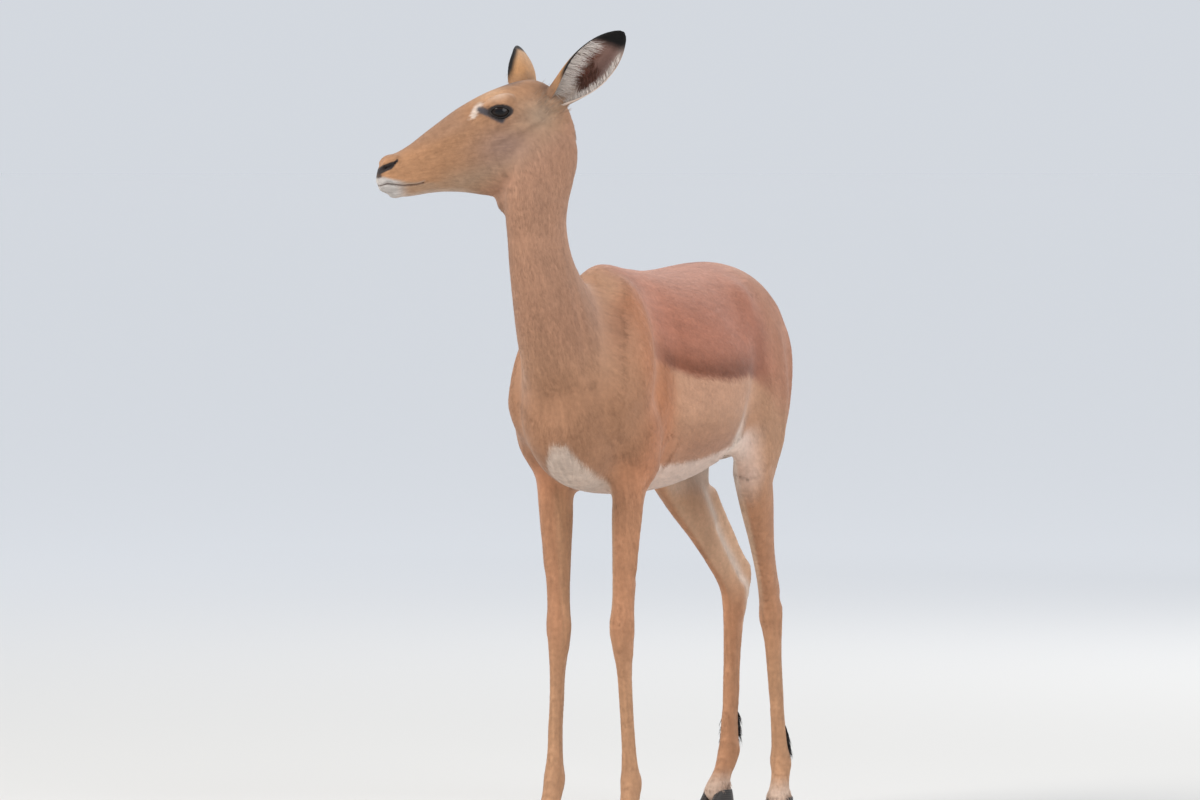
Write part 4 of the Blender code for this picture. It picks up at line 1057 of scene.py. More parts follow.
def eye_finish():
    """A wet eye: a near-black pupil lying across a dark brown iris, under a clear glossy cornea."""
    made, tree, shader = finish_of("wet eye", {"Roughness": 0.05, "IOR": 1.34})
    plan = node(tree, "Attribute", {"attribute_name": "plan"})
    squeezed = node(tree, "VectorMath", {"operation": "MULTIPLY"}, {1: (1.0, 1.9, 1.0)},
                    {0: plan.outputs["Vector"]})
    pupil = node(tree, "VectorMath", {"operation": "LENGTH"}, links={0: squeezed.outputs["Vector"]})
    iris = node(tree, "VectorMath", {"operation": "LENGTH"}, links={0: plan.outputs["Vector"]})
    rays = node(tree, "TexNoise", inputs={"Scale": 22.0, "Detail": 3.0},
                links={"Vector": plan.outputs["Vector"]})
    brown = node(tree, "Mix", {"data_type": "RGBA"}, {"A": paint("#0e0906"), "B": paint("#24150d")},
                 {"Factor": rays.outputs["Fac"]})
    hole = node(tree, "MapRange", {"interpolation_type": "SMOOTHSTEP"},
                {"From Min": 0.4, "From Max": 0.5}, {"Value": pupil.outputs["Value"]})
    seen = node(tree, "Mix", {"data_type": "RGBA"}, {"A": paint("#07060a")},
                {"Factor": hole.outputs["Result"], "B": brown.outputs["Result"]})
    rim = node(tree, "MapRange", {"interpolation_type": "SMOOTHSTEP"},
               {"From Min": 0.78, "From Max": 0.9}, {"Value": iris.outputs["Value"]})
    whole = node(tree, "Mix", {"data_type": "RGBA"}, {"B": paint("#15100e")},
                 {"Factor": rim.outputs["Result"], "A": seen.outputs["Result"]})
    tree.links.new(whole.outputs["Result"], shader.inputs["Base Color"])
    return made


def on_eye(side, across, up, lift):
    """Places over the eyeball, from lengths along it towards the nose and up, and a height above it."""
    centre, axes = eye_frame(side)
    reach = np.maximum(np.hypot(across, up), 1e-9)
    turn = reach / EYE_RADIUS
    local = np.stack([np.sin(turn) * across / reach, np.sin(turn) * up / reach, np.cos(turn)], -1)
    return centre + (local * (EYE_RADIUS + lift)[..., None]) @ axes.T


def lid_margin(side):
    """The bare rim of both lids: a small round section carried along their edges, all the way round."""
    rows, columns = 96, 10
    turn = np.linspace(0, 2 * np.pi, rows, endpoint=False)
    x = np.cos(turn)
    high, low = lid_height(x)
    edge = np.where(np.sin(turn) >= 0, high, low)
    round_ = np.linspace(0, 2 * np.pi, columns, endpoint=False)[None, :]
    wide = 0.0014 + 0.0008 * np.abs(x)[:, None] ** 6
    across = x[:, None] * (OPENING[0] + wide * np.cos(round_) * np.abs(x)[:, None])
    up = edge[:, None] + np.sin(turn)[:, None] * wide * np.cos(round_)
    lift = 0.0007 + 0.001 * np.sin(round_) * np.ones_like(wide)
    rings = on_eye(side, across, up, lift)
    return rings.reshape(-1, 3), [grid_faces(rows, columns, ring=True)]


WET_EYE = eye_finish()
LID_SKIN = bare_skin("bare lid skin", "#1b1513", 0.62, 900.0)
for name, side in SIDES:
    points, faces, plan = eyeball(side)
    data = mesh_of("eye", points + PLAN_TO_ROW, faces)
    layer = data.attributes.new("plan", "FLOAT_VECTOR", "POINT")
    layer.data.foreach_set("vector", np.hstack([plan, np.zeros((len(plan), 1))]).astype(np.float32).ravel())
    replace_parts(piece(f"eyeball_{name}", data, WET_EYE), f"eye_{name}")
    points, faces = lid_margin(side)
    piece(f"lids_{name}", mesh_of("lids", points + PLAN_TO_ROW, outward(points - points.mean(0), faces)),
          LID_SKIN)


# ---- ears

EARS = {"left": ((-0.0845, 0.035, -0.007), (-0.192, 0.092, 0.042), (0.15, 1.0, -0.15)),
        "right": ((-0.057, -0.036, 0.003), (-0.073, -0.146, 0.064), (1.0, -0.2, 0.1))}
EAR_WALL = 0.0026
# Along each ear: share of its length, the arc's radius, half its angle in degrees, and the bend backwards.
EAR_ROWS = carried([(-0.24, 0.025, 172, 0.018), (-0.1, 0.019, 165, 0.008), (0.0, 0.018, 152, 0.001),
                    (0.12, 0.0215, 138, 0.0), (0.28, 0.0265, 118, 0.001), (0.45, 0.03, 98, 0.002),
                    (0.6, 0.0305, 82, 0.003), (0.74, 0.0285, 70, 0.0045), (0.86, 0.0235, 60, 0.0085),
                    (0.95, 0.016, 52, 0.015), (1.0, 0.0085, 46, 0.0215), (1.015, 0.002, 40, 0.0275)], 8)


def ear_axes(name):
    """An ear's root, the way from there to its tip, and the direction its hollow faces."""
    root, tip, face = EARS[name]
    root = in_head(*root)
    axis = in_head(*tip) - root
    face = HEAD_AXES @ np.array(face)
    return root, axis, unit(face - unit(axis) * (face @ unit(axis)))


def ear_place(name, s, w, wall):
    """A leaf-shaped cup: at a share s of the way to the tip, an arc of a circle open towards the ear's
    face, with w from -1 to 1 between its edges. Wall is 0 outside and 1 inside, thinnest at the edges."""
    root, axis, face = ear_axes(name)
    edge = unit(np.cross(axis, face))
    radius, arc, bend = (np.interp(s, EAR_ROWS[:, 0], EAR_ROWS[:, k]) for k in (1, 2, 3))
    spread = np.radians(w * arc)
    thick = EAR_WALL * (1 - 0.35 * np.clip(s, 0, 1)) * (0.3 + 0.7 * np.cos(np.radians(w * 80)))
    thick = thick + 0.0007 * np.cos(w * 11) * band(s, 0.15, 0.4, 0.6, 0.85) * (1 - w * w)
    r = (radius - wall * thick)[..., None]
    return (root + axis * s[..., None] - face * bend[..., None]
            + (np.sin(spread)[..., None] * edge - np.cos(spread)[..., None] * face) * r)


def ear_tones(name, s, w, wall):
    """Tan outside, darkening to a black tip and upper margin; inside pink-grey, red-brown in the hollow."""
    front = -w if name == "left" else w

    def mix(low, high, share):
        return low + share[..., None] * (high - low)

    tans = TONES["ear root"], linear("#be8c5e"), linear("#c19872")
    back = np.stack([np.interp(s, (0, 0.3, 0.7), [tan[k] for tan in tans]) for k in range(3)], -1)
    hollow = mix(linear("#8b6b60"), linear("#b09a90"), ramp(np.abs(w), 0.35, 0.9))
    hollow = mix(hollow, linear("#7a4030"), 0.8 * bell(s, 0.36, 0.1) * bell(front, -0.1, 0.45))
    hollow = mix(hollow, linear("#4a332c"), 0.8 * bell(s, 0.42, 0.07) * bell(front, -0.8, 0.18))
    hollow = mix(hollow, linear("#c3b4aa"), 0.6 * fall(s, 0.08, 0.26))
    tone = mix(back, hollow, wall)
    dark = np.maximum(ramp(s + 0.09 * front, 0.71, 0.85), ramp(s, 0.12, 0.3) * ramp(front, 0.87, 0.95))
    dark = np.maximum(dark, (1 - wall) * ramp(s, 0.1, 0.35) * ramp(front, 0.72, 0.92))
    tone = mix(tone, TONES["ink"], dark)
    return mix(tone, TONES["white"], 0.9 * ramp(-front, 0.84, 0.94) * fall(s, 0.6, 0.72))


def ear_shell(name):
    """Both walls of the ear as rings that run out along the back and return along the hollow."""
    s = np.linspace(-0.24, 1.015, 72)[:, None]
    w = np.linspace(-1, 1, 44)[None, :]
    w, wall = np.hstack([w, w[:, ::-1]]), np.hstack([0 * w, 0 * w + 1])
    s, w, wall = np.broadcast_arrays(s, w, wall)
    rings = ear_place(name, s, w, wall)
    points, faces = closed(rings)
    tones = ear_tones(name, s, w, wall).reshape(-1, 3)
    return points, outward(points - points.mean(0), faces), np.vstack([tones, tones[:1], tones[-1:]])


EAR_SKIN = hair_finish("thin downy ear", 0.7, 0.08, 0.4)
for name, _ in SIDES:
    points, faces, tones = ear_shell(name)
    data = mesh_of("ear", points + PLAN_TO_ROW, faces)
    lay_colours(data, tones)
    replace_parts(piece(f"ear_shell_{name}", data, EAR_SKIN), f"ear_{name}")


# ---- hooves

CLEFT = 0.0112            # from the middle of the foot to the middle of each claw


def hoof(toe, yaw, half):
    """One claw: outlines from the sole up to the coronet, pointed ahead and flat inside, with growth rings
    that stand out by 0.1 mm every 3 mm of height."""
    height, heel, tip, wide = carried([
        (0.0, -0.0205, 0.038, 0.0088), (0.0015, -0.022, 0.0398, 0.0099), (0.004, -0.0225, 0.039, 0.0104),
        (0.014, -0.0225, 0.031, 0.0102), (0.026, -0.0205, 0.021, 0.0096), (0.035, -0.018, 0.013, 0.0088)],
        9).T[:, :, None]
    height = np.maximum(height, 0)
    swell = 0.00011 * np.sin(height / 0.003 * 2 * np.pi) * ramp(height, 0.004, 0.008)
    angle = np.linspace(0, 2 * np.pi, 48, endpoint=False)[None, :]
    along = (tip + heel) / 2 + ((tip - heel) / 2 + swell) * np.cos(angle)
    thick = (wide + swell) * np.sin(angle) * (1 - 0.38 * np.cos(angle) * (1 - height / 0.05))
    back, across = leg_axes(yaw)
    rings = np.asarray(toe) + across * half * CLEFT - along[..., None] * back + thick[..., None] * across
    rings[..., 2] = np.minimum(height, CORONET_Z - 0.0005)
    return closed(rings)


def horn_finish():
    """Hoof horn: grey-black keratin, waxy, with fine growth lines across it every 3 mm."""
    made, tree, shader = finish_of("hoof horn", {"Roughness": 0.42, "IOR": 1.54})
    place = node(tree, "TexCoord").outputs["Object"]
    lines = node(tree, "TexWave", {"bands_direction": "Z"},
                 {"Scale": 105.0, "Distortion": 1.5, "Detail": 2.0}, {"Vector": place})
    tone = node(tree, "Mix", {"data_type": "RGBA"}, {"A": paint("#1f1b19"), "B": paint("#3a332e")},
                {"Factor": lines.outputs["Fac"]})
    mixed = mottled(tree, tone.outputs["Result"], 60.0, 0.8, 1.25)
    tree.links.new(mixed, shader.inputs["Base Color"])
    relief = node(tree, "Bump", inputs={"Strength": 0.5, "Distance": 0.0004},
                  links={"Height": lines.outputs["Fac"]})
    tree.links.new(relief.outputs["Normal"], shader.inputs["Normal"])
    return made


HORN = horn_finish()
for name, side in SIDES:
    for leg, joints in (("fore", FORE[name]), ("hind", HIND[name])):
        for which, half in (("inner", -side), ("outer", side)):
            points, faces = hoof(joints[3], joints[4], half)
            data = mesh_of("hoof", points + PLAN_TO_ROW, outward(points - points.mean(0), faces))
            claw = piece(f"hoof_{leg}_{which}_{name}", data, HORN)
            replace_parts(claw, f"claw_{leg}_{which}_{name}")


# ---- the coat

MOST_BEND = 90            # radians to the metre, past which the coat stands off the skin
ROOT_DEPTH = 0.0003       # how far a tuft's root is sunk in the skin
PATCH = 0.0013            # half the width of a tuft's patch in the bake map


def scattered(points, quads, density):
    """Random places over the skin's faces, as many to the square metre as the density of each face."""
    corners = points[quads]
    twice = np.cross(corners[:, 2] - corners[:, 0], corners[:, 3] - corners[:, 1])
    area = 0.5 * np.linalg.norm(twice, axis=1)
    share = np.cumsum(density(corners.mean(1)) * area)
    count = int(share[-1] * (1))
    face = np.minimum(np.searchsorted(share, RNG.random(count) * share[-1]), len(quads) - 1)
    u, v = RNG.random((2, count, 1))
    return face, u, v


def over_face(values, quads, face, u, v):
    """Values of the four corners of each face, mixed by how far across and up the place lies."""
    a, b, c, d = (values[quads[face, k]] for k in range(4))
    return (a * (1 - u) + b * u) * (1 - v) + (d * (1 - u) + c * u) * v


def coat_measure(points):
    """Tufts to the square metre, and the length, width and height of a tuft, for each place: each goes
    from its value on the body to those on neck, head, muzzle, leg and foot."""
    on_head = head_share(points)
    shares = (ramp(points[:, 2], 0.78, 0.92) * fall(points[:, 1], -0.3, -0.24), on_head,
              on_head * ramp(of_head(points)[:, 0], 0.02, 0.15), fall(points[:, 2], 0.36, 0.54),
              fall(points[:, 2], 0.04, 0.14))
    found = []
    for value, *others in ((216e3, 278e3, 446e3, 677e3, 350e3, 413e3),
                           (0.0125, 0.0115, 0.0062, 0.0036, 0.0078, 0.0062),
                           (0.00125, 0.0011, 0.0008, 0.0006, 0.0009, 0.0009),
                           (0.0004, 0.0004, 0.00018, 0.00012, 0.00024, 0.00024)):
        for share, other in zip(shares, others):
            value = value + share * (other - value)
        found.append(value)
    return found


def hair_mesh(name, points, faces, tones, plan, ways):
    """A mesh of hair with its colours, its bake map and soft shading that follows the skin beneath."""
    data = mesh_of(name, points + PLAN_TO_ROW, faces)
    lay_colours(data, tones)
    layer = data.uv_layers.new(name="OFBake")
    corners = numbers(data, "vertex_index", "loops", 1)
    layer.data.foreach_set("uv", plan[corners].astype(np.float32).ravel())
    data.normals_split_custom_set_from_vertices(unit(ways).astype(np.float32))
    return data


def bend_of(points, quads, ways):
    """How fast the skin turns away along the hair, in radians of its normal to the metre."""
    course = lie(points, ways)
    a, b = sides_of(quads)
    run = points[b] - points[a]
    along = (run * course[a]).sum(1)
    turn = ((ways[b] - ways[a]) * course[a]).sum(1) * np.sign(along)
    weight = (along / np.linalg.norm(run, axis=1)) ** 4
    mean = [np.bincount(a, weight * part, len(points)) for part in (turn, np.abs(along))]
    return np.clip(mean[0] / np.maximum(mean[1], 1e-9), 0, MOST_BEND)[:, None]


def tufts(name, roots, ways, course, bend, long, wide, high, tones, plan):
    """Each tuft is a thin closed wedge: two root points beside the middle, a crest a third of the way
    along and a tip, laid along the hair's course, rising by the coat's height and falling by
    bend * length^2 / 2 where the skin turns away."""
    count = len(roots)
    long, wide, high = long[:, None], wide[:, None], high[:, None]
    side = np.cross(ways, course)
    base = roots - ways * ROOT_DEPTH
    left, right = base - side * wide / 2, base + side * wide / 2
    drop = bend * long ** 2 / 2
    crest = roots + ways * (high * 0.35 + 0.00012 - drop * 0.12) + course * long * 0.35
    tip = roots + ways * (high - drop) + course * long
    points = np.stack([left, right, crest, tip], 1).reshape(-1, 3)
    start = np.arange(count)[:, None] * 4
    corners = (0, 3, 2), (2, 3, 1), (1, 3, 0), (0, 2, 1)
    faces = np.concatenate([start + np.array(corner) for corner in corners])
    soft = np.stack([ways - 0.16 * side, ways + 0.16 * side, ways, ways + 0.1 * course], 1).reshape(-1, 3)
    patch = PATCH * np.array([(-1, -1), (1, -1), (0, 0), (0, 1)])
    plan = (plan[:, None] + patch).reshape(-1, 2)
    return hair_mesh(name, points, [faces], np.repeat(tones, 4, 0), plan, soft)


def locks(name, roots, ways, start, turn, long, wide, tones, plan):
    """Long hair. Each lock is a closed blade of three-cornered section that tapers to a point:
    centre = root + long * (t * start + t^2 / 2 * turn), width = wide * (1 - t^1.6)."""
    t = np.array([0.0, 0.3, 0.6, 0.85, 1.0])
    long, wide = long[:, None, None], wide[:, None, None]
    centre = roots[:, None] + long * (t[:, None] * start[:, None] + t[:, None] ** 2 / 2 * turn[:, None])
    tangent = unit(start[:, None] + t[:, None] * turn[:, None])
    side = unit(np.cross(np.broadcast_to(ways[:, None], tangent.shape), tangent))
    up = np.cross(tangent, side)
    width = wide * (1 - t[:, None] ** 1.6)
    across, above = np.array([-0.5, 0.5, 0.0]), np.array([-0.12, -0.12, 0.24])
    rings = [centre[:, :4] + side[:, :4] * width[:, :4] * a + up[:, :4] * width[:, :4] * b
             for a, b in zip(across, above)]
    points = np.concatenate([np.stack(rings, 2).reshape(len(roots), 12, 3), centre[:, 4:]], 1)
    spread = [0.25 * ways[:, None] + side[:, :4] * a + up[:, :4] * b + 0.2 * tangent[:, :4]
              for a, b in ((-0.8, -0.45), (0.8, -0.45), (0.0, 1.0))]
    soft = np.concatenate([np.stack(spread, 2).reshape(len(roots), 12, 3), ways[:, None]], 1)
    first = np.arange(len(roots))[:, None] * 13
    quads = [first + np.array([3 * k + j, 3 * k + (j + 1) % 3, 3 * k + 3 + (j + 1) % 3, 3 * k + 3 + j])
             for k in range(3) for j in range(3)]
    ends = [first + np.array(corner) for corner in ((0, 2, 1), (9, 10, 12), (10, 11, 12), (11, 9, 12))]
    patch = np.array([((j - 1) * 0.0012, (k - 1.5) * 0.0008) for k in range(4) for j in range(3)]
                     + [(0, 0.0016)])
    return hair_mesh(name, points.reshape(-1, 3), [np.concatenate(quads), np.concatenate(ends)],
                     np.repeat(tones, 13, 0), (plan[:, None] + patch).reshape(-1, 2), soft.reshape(-1, 3))


def long_hair(name, *how):
    """A piece made of locks."""
    piece(name, locks(name, *how), LONG_HAIR)


def varied(tones, depth=0.1):
    """The tones made lighter or darker at random, lock by lock."""
    return np.clip(tones * (1 + RNG.normal(0, depth, (len(tones), 1))), 0.002, 1)


def on_skin(density):
    """Random roots on the skin, with the skin's direction there."""
    where = scattered(skin_points, skin_quads, density)
    return over_face(skin_points, skin_quads, *where), unit(over_face(skin_ways, skin_quads, *where))


EAR_TUFTS = 12000
# Locks in an ear: how many, from which to which share of its length, how far out towards the edge, front
# edge 1 or rear edge -1, length, how much they lean to the tip, and colour.
EAR_LOCKS = ((400, (0.02, 0.7), (0.6, 0.98), 1, 0.029, 0.45, "#d8cdc4"),
             (380, (0.0, 0.8), (0.8, 0.98), -1, 0.012, 0.55, "#d8cdc4"),
             (420, (-0.02, 0.18), (0.3, 0.95), 1, 0.026, 1.1, "#c9bbb0"),
             (300, (-0.02, 0.14), (0.3, 0.95), -1, 0.022, 1.1, "#b8a496"),
             (420, (0.16, 0.62), (0.02, 0.6), 1, 0.013, 0.9, "#7c4c38"),
             (260, (0.14, 0.5), (0.05, 0.55), -1, 0.012, 0.9, "#6b4535"))


def ear_hair(name):
    """Short tufts over both faces of the ear, and the long pale hair that crosses its hollow from the
    front edge, fringes the rear edge and fills the root."""
    _, axis, facing = ear_axes(name)
    length, axis = np.linalg.norm(axis), unit(axis)
    front = -1.0 if name == "left" else 1.0

    def at(s, w, wall):
        """A place on the ear, the way out of it, and its place in the bake map."""
        here = ear_place(name, s, w, wall)
        out = unit(ear_place(name, s, w, 0 * wall) - ear_place(name, s, w, 0 * wall + 1))
        ways = np.where(wall[:, None] > 0.5, -out, out)
        plan = np.stack([0.02 + 0.96 * (s + 0.24) / 1.26, 0.01 + 0.48 * (w + 1) / 2 + 0.5 * wall], 1)
        return here, ways, plan

    count = int(EAR_TUFTS * (1))
    s, w = RNG.uniform(0.0, 0.985, count), RNG.uniform(-0.985, 0.985, count)
    wall = (RNG.random(count) > 0.55).astype(float)
    here, ways, plan = at(s, w, wall)
    long = np.where(wall > 0.5, 0.0045, 0.006) * RNG.uniform(0.7, 1.3, count) * (1 - 0.45 * s)
    ahead = np.minimum(s + long / length, 1.004)
    away = ear_place(name, ahead, w + RNG.normal(0, 0.018, count), wall) - here
    long = np.linalg.norm(away, axis=1)
    tones = varied(ear_tones(name, s, w, wall), 0.07)
    piece(f"ear_coat_{name}", tufts("ear coat", here, ways, away / long[:, None], np.zeros((count, 1)), long,
                                    0 * s + 0.0009, 0 * s + 0.00025, tones, plan), EAR_SKIN)

    rows = []
    for many, (low, high), (near, far), edge, reach, along, code in EAR_LOCKS:
        many = int(many * (1))
        s = RNG.uniform(low, high, many)
        w = front * edge * RNG.uniform(near, far, many)
        here, ways, plan = at(s, w, np.ones(many))
        across = unit(ear_place(name, s, -w, np.ones(many)) - here)
        start = unit(across + along * axis + 0.22 * facing + RNG.normal(0, 0.2, (many, 3)))
        turn = -0.25 * facing + 0.25 * axis + 0.1 * across
        long = reach * (1 - 0.45 * np.clip(s, 0, 1)) * RNG.uniform(0.65, 1.2, many)
        tones = varied(np.tile(linear(code), (many, 1)), 0.16)
        wide = RNG.uniform(0.0005, 0.001, many)
        rows.append((here, 0.6 * ways + 0.6 * facing, start, turn, long, wide, tones, plan))
    long_hair(f"ear_hair_{name}", *(np.concatenate(part) for part in zip(*rows)))


def lashes(name, side):
    """Stiff dark lashes, long and close over the eye, short and few beneath it."""
    _, axes = eye_frame(side)
    ahead, up, gaze = axes.T
    rows = []
    for many, sign, reach, curl, lid in ((54, 1.0, 0.0088, 0.75, 0.75), (22, -1.0, 0.005, 0.2, 0.25)):
        x = np.linspace(-0.88, 0.86, many) + RNG.normal(0, 0.01, many)
        high, low = lid_height(x)
        root = on_eye(side, x * OPENING[0], (high if sign > 0 else low) + sign * 0.0008, 0 * x + 0.0014)
        start = unit(gaze + sign * 0.55 * up - 0.35 * x[:, None] * ahead - 0.35 * ahead
                     + RNG.normal(0, 0.07, (many, 3)))
        plan = np.stack([0.1 + 0.4 * (x + 1), np.full(many, lid)], 1)
        rows.append((root, start, np.tile(-sign * curl * up, (many, 1)), reach * RNG.uniform(0.8, 1.15, many),
                     np.full(many, 0.0006), plan))
    root, start, turn, long, wide, plan = (np.concatenate(part) for part in zip(*rows))
    tones = varied(np.tile(TONES["black"], (len(root), 1)))
    long_hair(f"lashes_{name}", root, np.tile(up, (len(root), 1)), start, turn, long, wide, tones, plan)


DOWN = np.array([0.0, 0.0, -1.0])


def tail_brush():
    """The tail's long hair: white, black down the middle and tan at the root."""
    roots, ways = on_skin(lambda p: 70e3 * ramp(p[:, 1], 0.386, 0.392) * (np.abs(p[:, 0]) < 0.024)
                          * ramp(p[:, 2], 0.595, 0.605) * fall(p[:, 2], 0.765, 0.78))
    count = len(roots)
    long = np.clip((roots[:, 2] - 0.552) * 0.75, 0.03, 0.068) * RNG.uniform(0.75, 1.1, count)
    start = unit(DOWN + 0.18 * ways * (1, 0.5, 0) + RNG.normal(0, 0.05, (count, 3)))
    rearward = ramp(ways[:, 1], 0.1, 0.5)
    black = (bell(roots[:, 0], 0, 0.0065) * rearward)[:, None]
    tan = (ramp(roots[:, 2], 0.715, 0.77) * ramp(ways[:, 1], 0.0, 0.5))[:, None]
    tones = TONES["white"] + tan * (TONES["saddle"] - TONES["white"])
    tones = tones + black * (TONES["black"] - tones)
    plan = angle_plan((roots[:, 2] - 0.5) / 0.32, roots[:, 0], roots[:, 1] - 0.395)
    long_hair("tail_brush", roots, ways, start, -0.35 * ways * (1, 1, 0), long,
              RNG.uniform(0.0012, 0.002, count), varied(tones), plan)


def scent_tufts():
    """The stiff black tufts over the scent glands, at the back of the hind cannons."""
    roots, ways = on_skin(lambda p: 230e3 * (p[:, 1] > 0.2) * fall(
        np.abs(p[:, 2] - np.where(p[:, 0] > 0, *GLAND_Z) - 0.005), 0.016, 0.022))
    kept = gland(roots, ways) > 0.25
    roots, ways = roots[kept], ways[kept]
    count = len(roots)
    start = unit(DOWN + 0.62 * ways + RNG.normal(0, 0.08, (count, 3)))
    plan = np.stack([0.5 * (roots[:, 0] > 0) + 5 * np.abs(roots[:, 0]), 0.1 + 3 * roots[:, 2]], 1) * (0.9, 1)
    long_hair("scent_tufts", roots, ways, start, -0.55 * ways, 0.021 * RNG.uniform(0.7, 1.2, count),
              RNG.uniform(0.0013, 0.002, count), varied(np.tile(TONES["black"], (count, 1))), plan)


def ear_root(name, centre):
    """Fine hair that stands round the root of an ear, towards its tip."""
    roots, ways = on_skin(lambda p: 520e3 * spot(of_head(p), centre, (0.02, 0.018, 0.018)))
    count = len(roots)
    start = unit(unit(ear_axes(name)[1]) + 0.12 * ways + RNG.normal(0, 0.12, (count, 3)))
    tones = varied(0.6 * markings(roots, ways) + 0.4 * linear("#a08c7a"), 0.12)
    place = of_head(roots)
    plan = angle_plan(0.5 + 8 * (place[:, 0] - centre[0]), place[:, 1], place[:, 2])
    long_hair(f"ear_root_{name}", roots, ways, start, -0.5 * ways, 0.01 * RNG.uniform(0.6, 1.3, count),
              RNG.uniform(0.0004, 0.0008, count), tones, plan)


def coronet_fringe():
    """The short fringe that hangs over the top of each hoof."""
    roots, ways = on_skin(lambda p: 300e3 * ramp(p[:, 2], 0.0355, 0.037) * fall(p[:, 2], 0.042, 0.05))
    count = len(roots)
    start = unit(DOWN + 0.42 * ways * (1, 1, 0) + RNG.normal(0, 0.06, (count, 3)))
    tones = varied(markings(roots, ways), 0.08)
    plan = np.stack([0.05 + 0.2 * (roots[:, 0] > 0) + 0.4 * (roots[:, 1] > 0) + 2 * np.abs(roots[:, 0]),
                     0.1 + 6 * (roots[:, 1] % 0.12)], 1) * (0.9, 1)
    long_hair("coronet_fringe", roots, ways, start, 0 * ways, 0.0095 * RNG.uniform(0.7, 1.2, count),
              RNG.uniform(0.0008, 0.0012, count), tones, plan)


def angle_plan(along, across, up, share=1.0):
    """A place on the unrolled skin: how far along the limb, and the angle round it."""
    turn = np.arctan2(up, across) / (2 * np.pi) + 0.5
    return np.stack([0.02 + 0.96 * along, share * (0.01 + 0.98 * turn)], 1)


def unrolled(points):
    """The parts the coat is made in: for each, which places belong to it and where they lie unrolled."""
    x, y, z = points.T
    f, l, u = of_head(points).T
    side = np.where(x > 0, 1.0, -1.0)
    on_head = head_share(points) > 0.5
    on_neck = ~on_head & (z > 0.735) & (y < -0.265)
    on_tail = (y > 0.39) & (np.abs(x) < 0.024) & (z > 0.52) & (z < 0.8)
    hind = ~on_tail & (y > 0.13) & ((y > 0.2) | (z < 0.53))
    shank = hind & (z < 0.46)
    fore = ~on_head & ~on_neck & (z < 0.52) & (y < 0.02)
    rest = ~(on_head | on_neck | on_tail | hind | fore)
    front = rest & (y < -0.13)
    middle = np.stack([np.interp(z, (0.72, 0.84, 0.9, 1.06), (-0.004, -0.01, -0.012, -0.012)),
                       np.interp(z, (0.72, 0.84, 0.9, 1.06), (-0.28, -0.369, -0.383, -0.384))], 1)
    by_side = np.where(side > 0, 0.5, 0.0)
    round_trunk = angle_plan((y + 0.4) / 0.82, x, z - 0.69)
    leg_x = np.interp(z, (0.03, 0.36, 0.6, 0.8), (0.068, 0.056, 0.078, 0.05))
    fore_plan = angle_plan(z / 0.56, x - side * 0.06, y + 0.225, 0.5)
    hind_y = np.where(
        side > 0, np.interp(z, (0.03, 0.09, 0.324, 0.56, 0.85), (0.34, 0.357, 0.344, 0.24, 0.27)),
        np.interp(z, (0.03, 0.09, 0.345, 0.56, 0.85), (0.44, 0.459, 0.458, 0.3, 0.27)))
    hind_plan = angle_plan(z / 0.9, x - side * leg_x, y - hind_y)
    return [("coat_head", on_head, angle_plan((f + 0.13) / 0.34, l, u + 0.045)),
            ("coat_neck", on_neck, angle_plan((z - 0.7) / 0.38, x - middle[:, 0], y - middle[:, 1])),
            ("coat_tail", on_tail, angle_plan((z - 0.5) / 0.32, x, y - 0.395)),
            ("coat_shoulders", front, round_trunk),
            ("coat_flank_left", rest & ~front & (x > 0), round_trunk),
            ("coat_flank_right", rest & ~front & (x <= 0), round_trunk),
            ("coat_forelegs", fore, fore_plan + np.stack([0 * z, by_side], 1)),
            ("coat_haunch_left", hind & ~shank & (x > 0), hind_plan),
            ("coat_haunch_right", hind & ~shank & (x <= 0), hind_plan),
            ("coat_hindlegs", shank, hind_plan * (1, 0.5) + np.stack([0 * z, by_side], 1))]


def grow_coat():
    """Tufts over the whole skin, thickest and shortest on the face and feet."""
    where = scattered(skin_points, skin_quads, lambda middle: coat_measure(middle)[0])
    roots = over_face(skin_points, skin_quads, *where)
    ways = unit(over_face(skin_ways, skin_quads, *where))
    bare = np.zeros(len(roots), bool)
    for path in NOSTRILS:
        bare |= nostril_share(roots, path) > 0.7
    place = of_head(roots)
    bare |= (place[:, 0] > 0.193) & (np.abs(place[:, 2] + 0.0245) < 0.0045) & (np.abs(place[:, 1]) < 0.01)
    for _, side in SIDES:
        bare |= round_eye(roots, side, 0.0015, 0.0015) < 1
    bare |= roots[:, 2] < CORONET_Z + 0.001
    roots, ways, where = roots[~bare], ways[~bare], [part[~bare] for part in where]
    course = lie(roots, ways)
    turn = RNG.normal(0, 0.16, (len(roots), 1))
    course = unit(course + np.cross(ways, course) * turn)
    _, long, wide, high = coat_measure(roots)
    long, high = long * RNG.uniform(0.75, 1.25, len(roots)), high * RNG.uniform(0.6, 1.25, len(roots))
    streak = over_face(STREAKS, skin_quads, *where)
    tones = markings(roots, ways) * (1 + streak + RNG.normal(0, 0.04, (len(roots), 1)))
    tones = np.clip(tones + RNG.normal(0, 0.008, (len(roots), 1)) * np.array([1, 0.6, 0.3]), 0.002, 1)
    bend = over_face(bend_of(skin_points, skin_quads, skin_ways), skin_quads, *where)
    for name, mine, plan in unrolled(roots):
        own = (part[mine] for part in (roots, ways, course, bend, long, wide, high, tones, plan))
        piece(name, tufts(name, *own), HAIR_COAT)


grow_coat()
for name, side in SIDES:
    ear_hair(name)
    lashes(name, side)
tail_brush()
scent_tufts()
ear_root("left", (-0.084, 0.036, -0.01))
ear_root("right", (-0.068, -0.032, -0.002))
coronet_fringe()


# ---- floor, light and camera

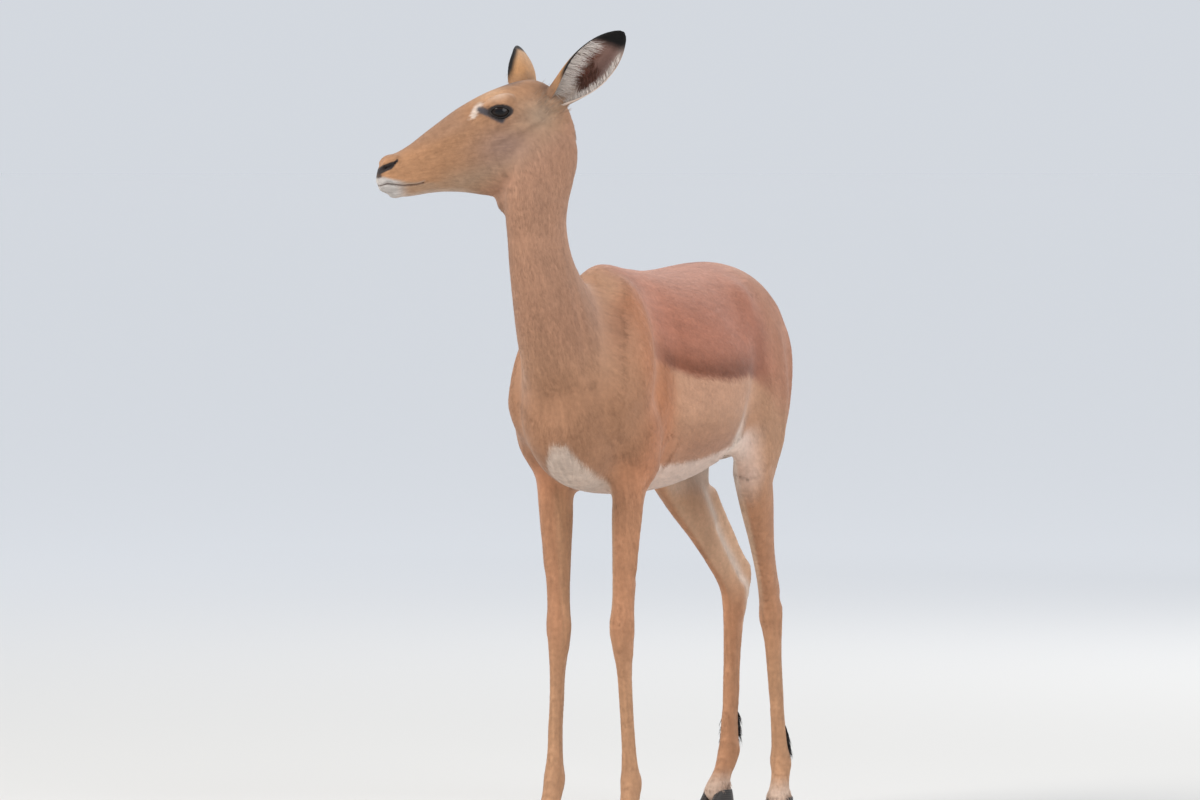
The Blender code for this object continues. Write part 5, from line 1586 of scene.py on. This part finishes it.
def floor():
    """A plain pale floor, as wide as the view: rings of a flat disc."""
    radius = np.array([0.5, 2, 6, 20, 80, 300])[:, None]
    turn = np.linspace(0, 2 * np.pi, 64, endpoint=False)[None, :]
    rings = np.stack([radius * np.cos(turn), radius * np.sin(turn), 0 * radius * turn], -1)
    faces = [grid_faces(*rings.shape[:2])[:, ::-1], np.arange(turn.size)[None, :]]
    data = mesh_of("floor", rings.reshape(-1, 3), faces)
    pale, tree, shader = finish_of("pale matt floor", {"Roughness": 0.9})
    place = node(tree, "TexCoord").outputs["Object"]
    away = node(tree, "VectorMath", {"operation": "LENGTH"}, links={"Vector": place})
    paler = node(tree, "MapRange", {"interpolation_type": "SMOOTHSTEP"},
                 {"From Min": 1.5, "From Max": 9.0}, {"Value": away.outputs["Value"]})
    shade = node(tree, "Mix", {"data_type": "RGBA"},
                 {"A": paint("#d6d4d0"), "B": paint("#ffffff")}, {"Factor": paler.outputs["Result"]})
    tree.links.new(shade.outputs["Result"], shader.inputs["Base Color"])
    data.materials.append(pale)
    made = bpy.data.objects.new("floor", data)
    bpy.context.scene.collection.objects.link(made)


def lamp(name, place, aim, size, power, tint):
    """A soft round lamp."""
    light = bpy.data.lights.new(name, "AREA")
    light.shape = "DISK"
    light.size = size
    light.energy = power
    light.color = tint
    made = bpy.data.objects.new(name, light)
    bpy.context.scene.collection.objects.link(made)
    point_at(made, np.asarray(place, float), np.asarray(aim, float))


def point_at(thing, place, aim):
    """Puts a lamp or the camera at a place, looking at another."""
    thing.location = place
    thing.rotation_euler = Vector(aim - place).to_track_quat("-Z", "Y").to_euler()


def studio():
    """Soft light from above and in front, a weaker fill, a third lamp behind, and a pale surround."""
    world = bpy.data.worlds.new("surround")
    bpy.context.scene.world = world
    world.use_nodes = True
    world.node_tree.nodes["Background"].inputs["Color"].default_value = (0.8, 0.84, 0.9, 1)
    world.node_tree.nodes["Background"].inputs["Strength"].default_value = 0.82
    lamp("key", (-2.6, -3.4, 4.2), (0, 0, 0.6), 3.0, 205, (1.0, 0.97, 0.93))
    lamp("fill", (4.2, -1.6, 2.4), (0, 0, 0.6), 3.5, 90, (0.97, 0.98, 1.0))
    lamp("rim", (0.5, 4.5, 3.6), (0, 0, 0.7), 3.0, 80, (1.0, 0.98, 0.96))


CAMERA_TURN, CAMERA_RISE = math.radians(23.0), math.radians(1.8)
CAMERA_FAR, LENS_MM = 12.0, 241.2
AIM_UP, AIM_ASIDE = 0.6507, 0.07463       # the place looked at: its height, and how far to the viewer's left


def camera():
    """A long lens ahead of the animal and to its left, about as high as its eyes, looking down a little."""
    ahead = np.array([-math.sin(CAMERA_TURN) * math.cos(CAMERA_RISE),
                      math.cos(CAMERA_TURN) * math.cos(CAMERA_RISE), -math.sin(CAMERA_RISE)])
    right = np.array([math.cos(CAMERA_TURN), math.sin(CAMERA_TURN), 0.0])
    aim = PLAN_TO_ROW + (0.0, 0.0, AIM_UP) - right * AIM_ASIDE
    lens = bpy.data.cameras.new("camera")
    lens.lens = LENS_MM
    made = bpy.data.objects.new("camera", lens)
    bpy.context.scene.collection.objects.link(made)
    point_at(made, aim - ahead * CAMERA_FAR, aim)
    bpy.context.scene.camera = made


floor()
studio()
camera()
bpy.context.scene.view_settings.view_transform = "Standard"
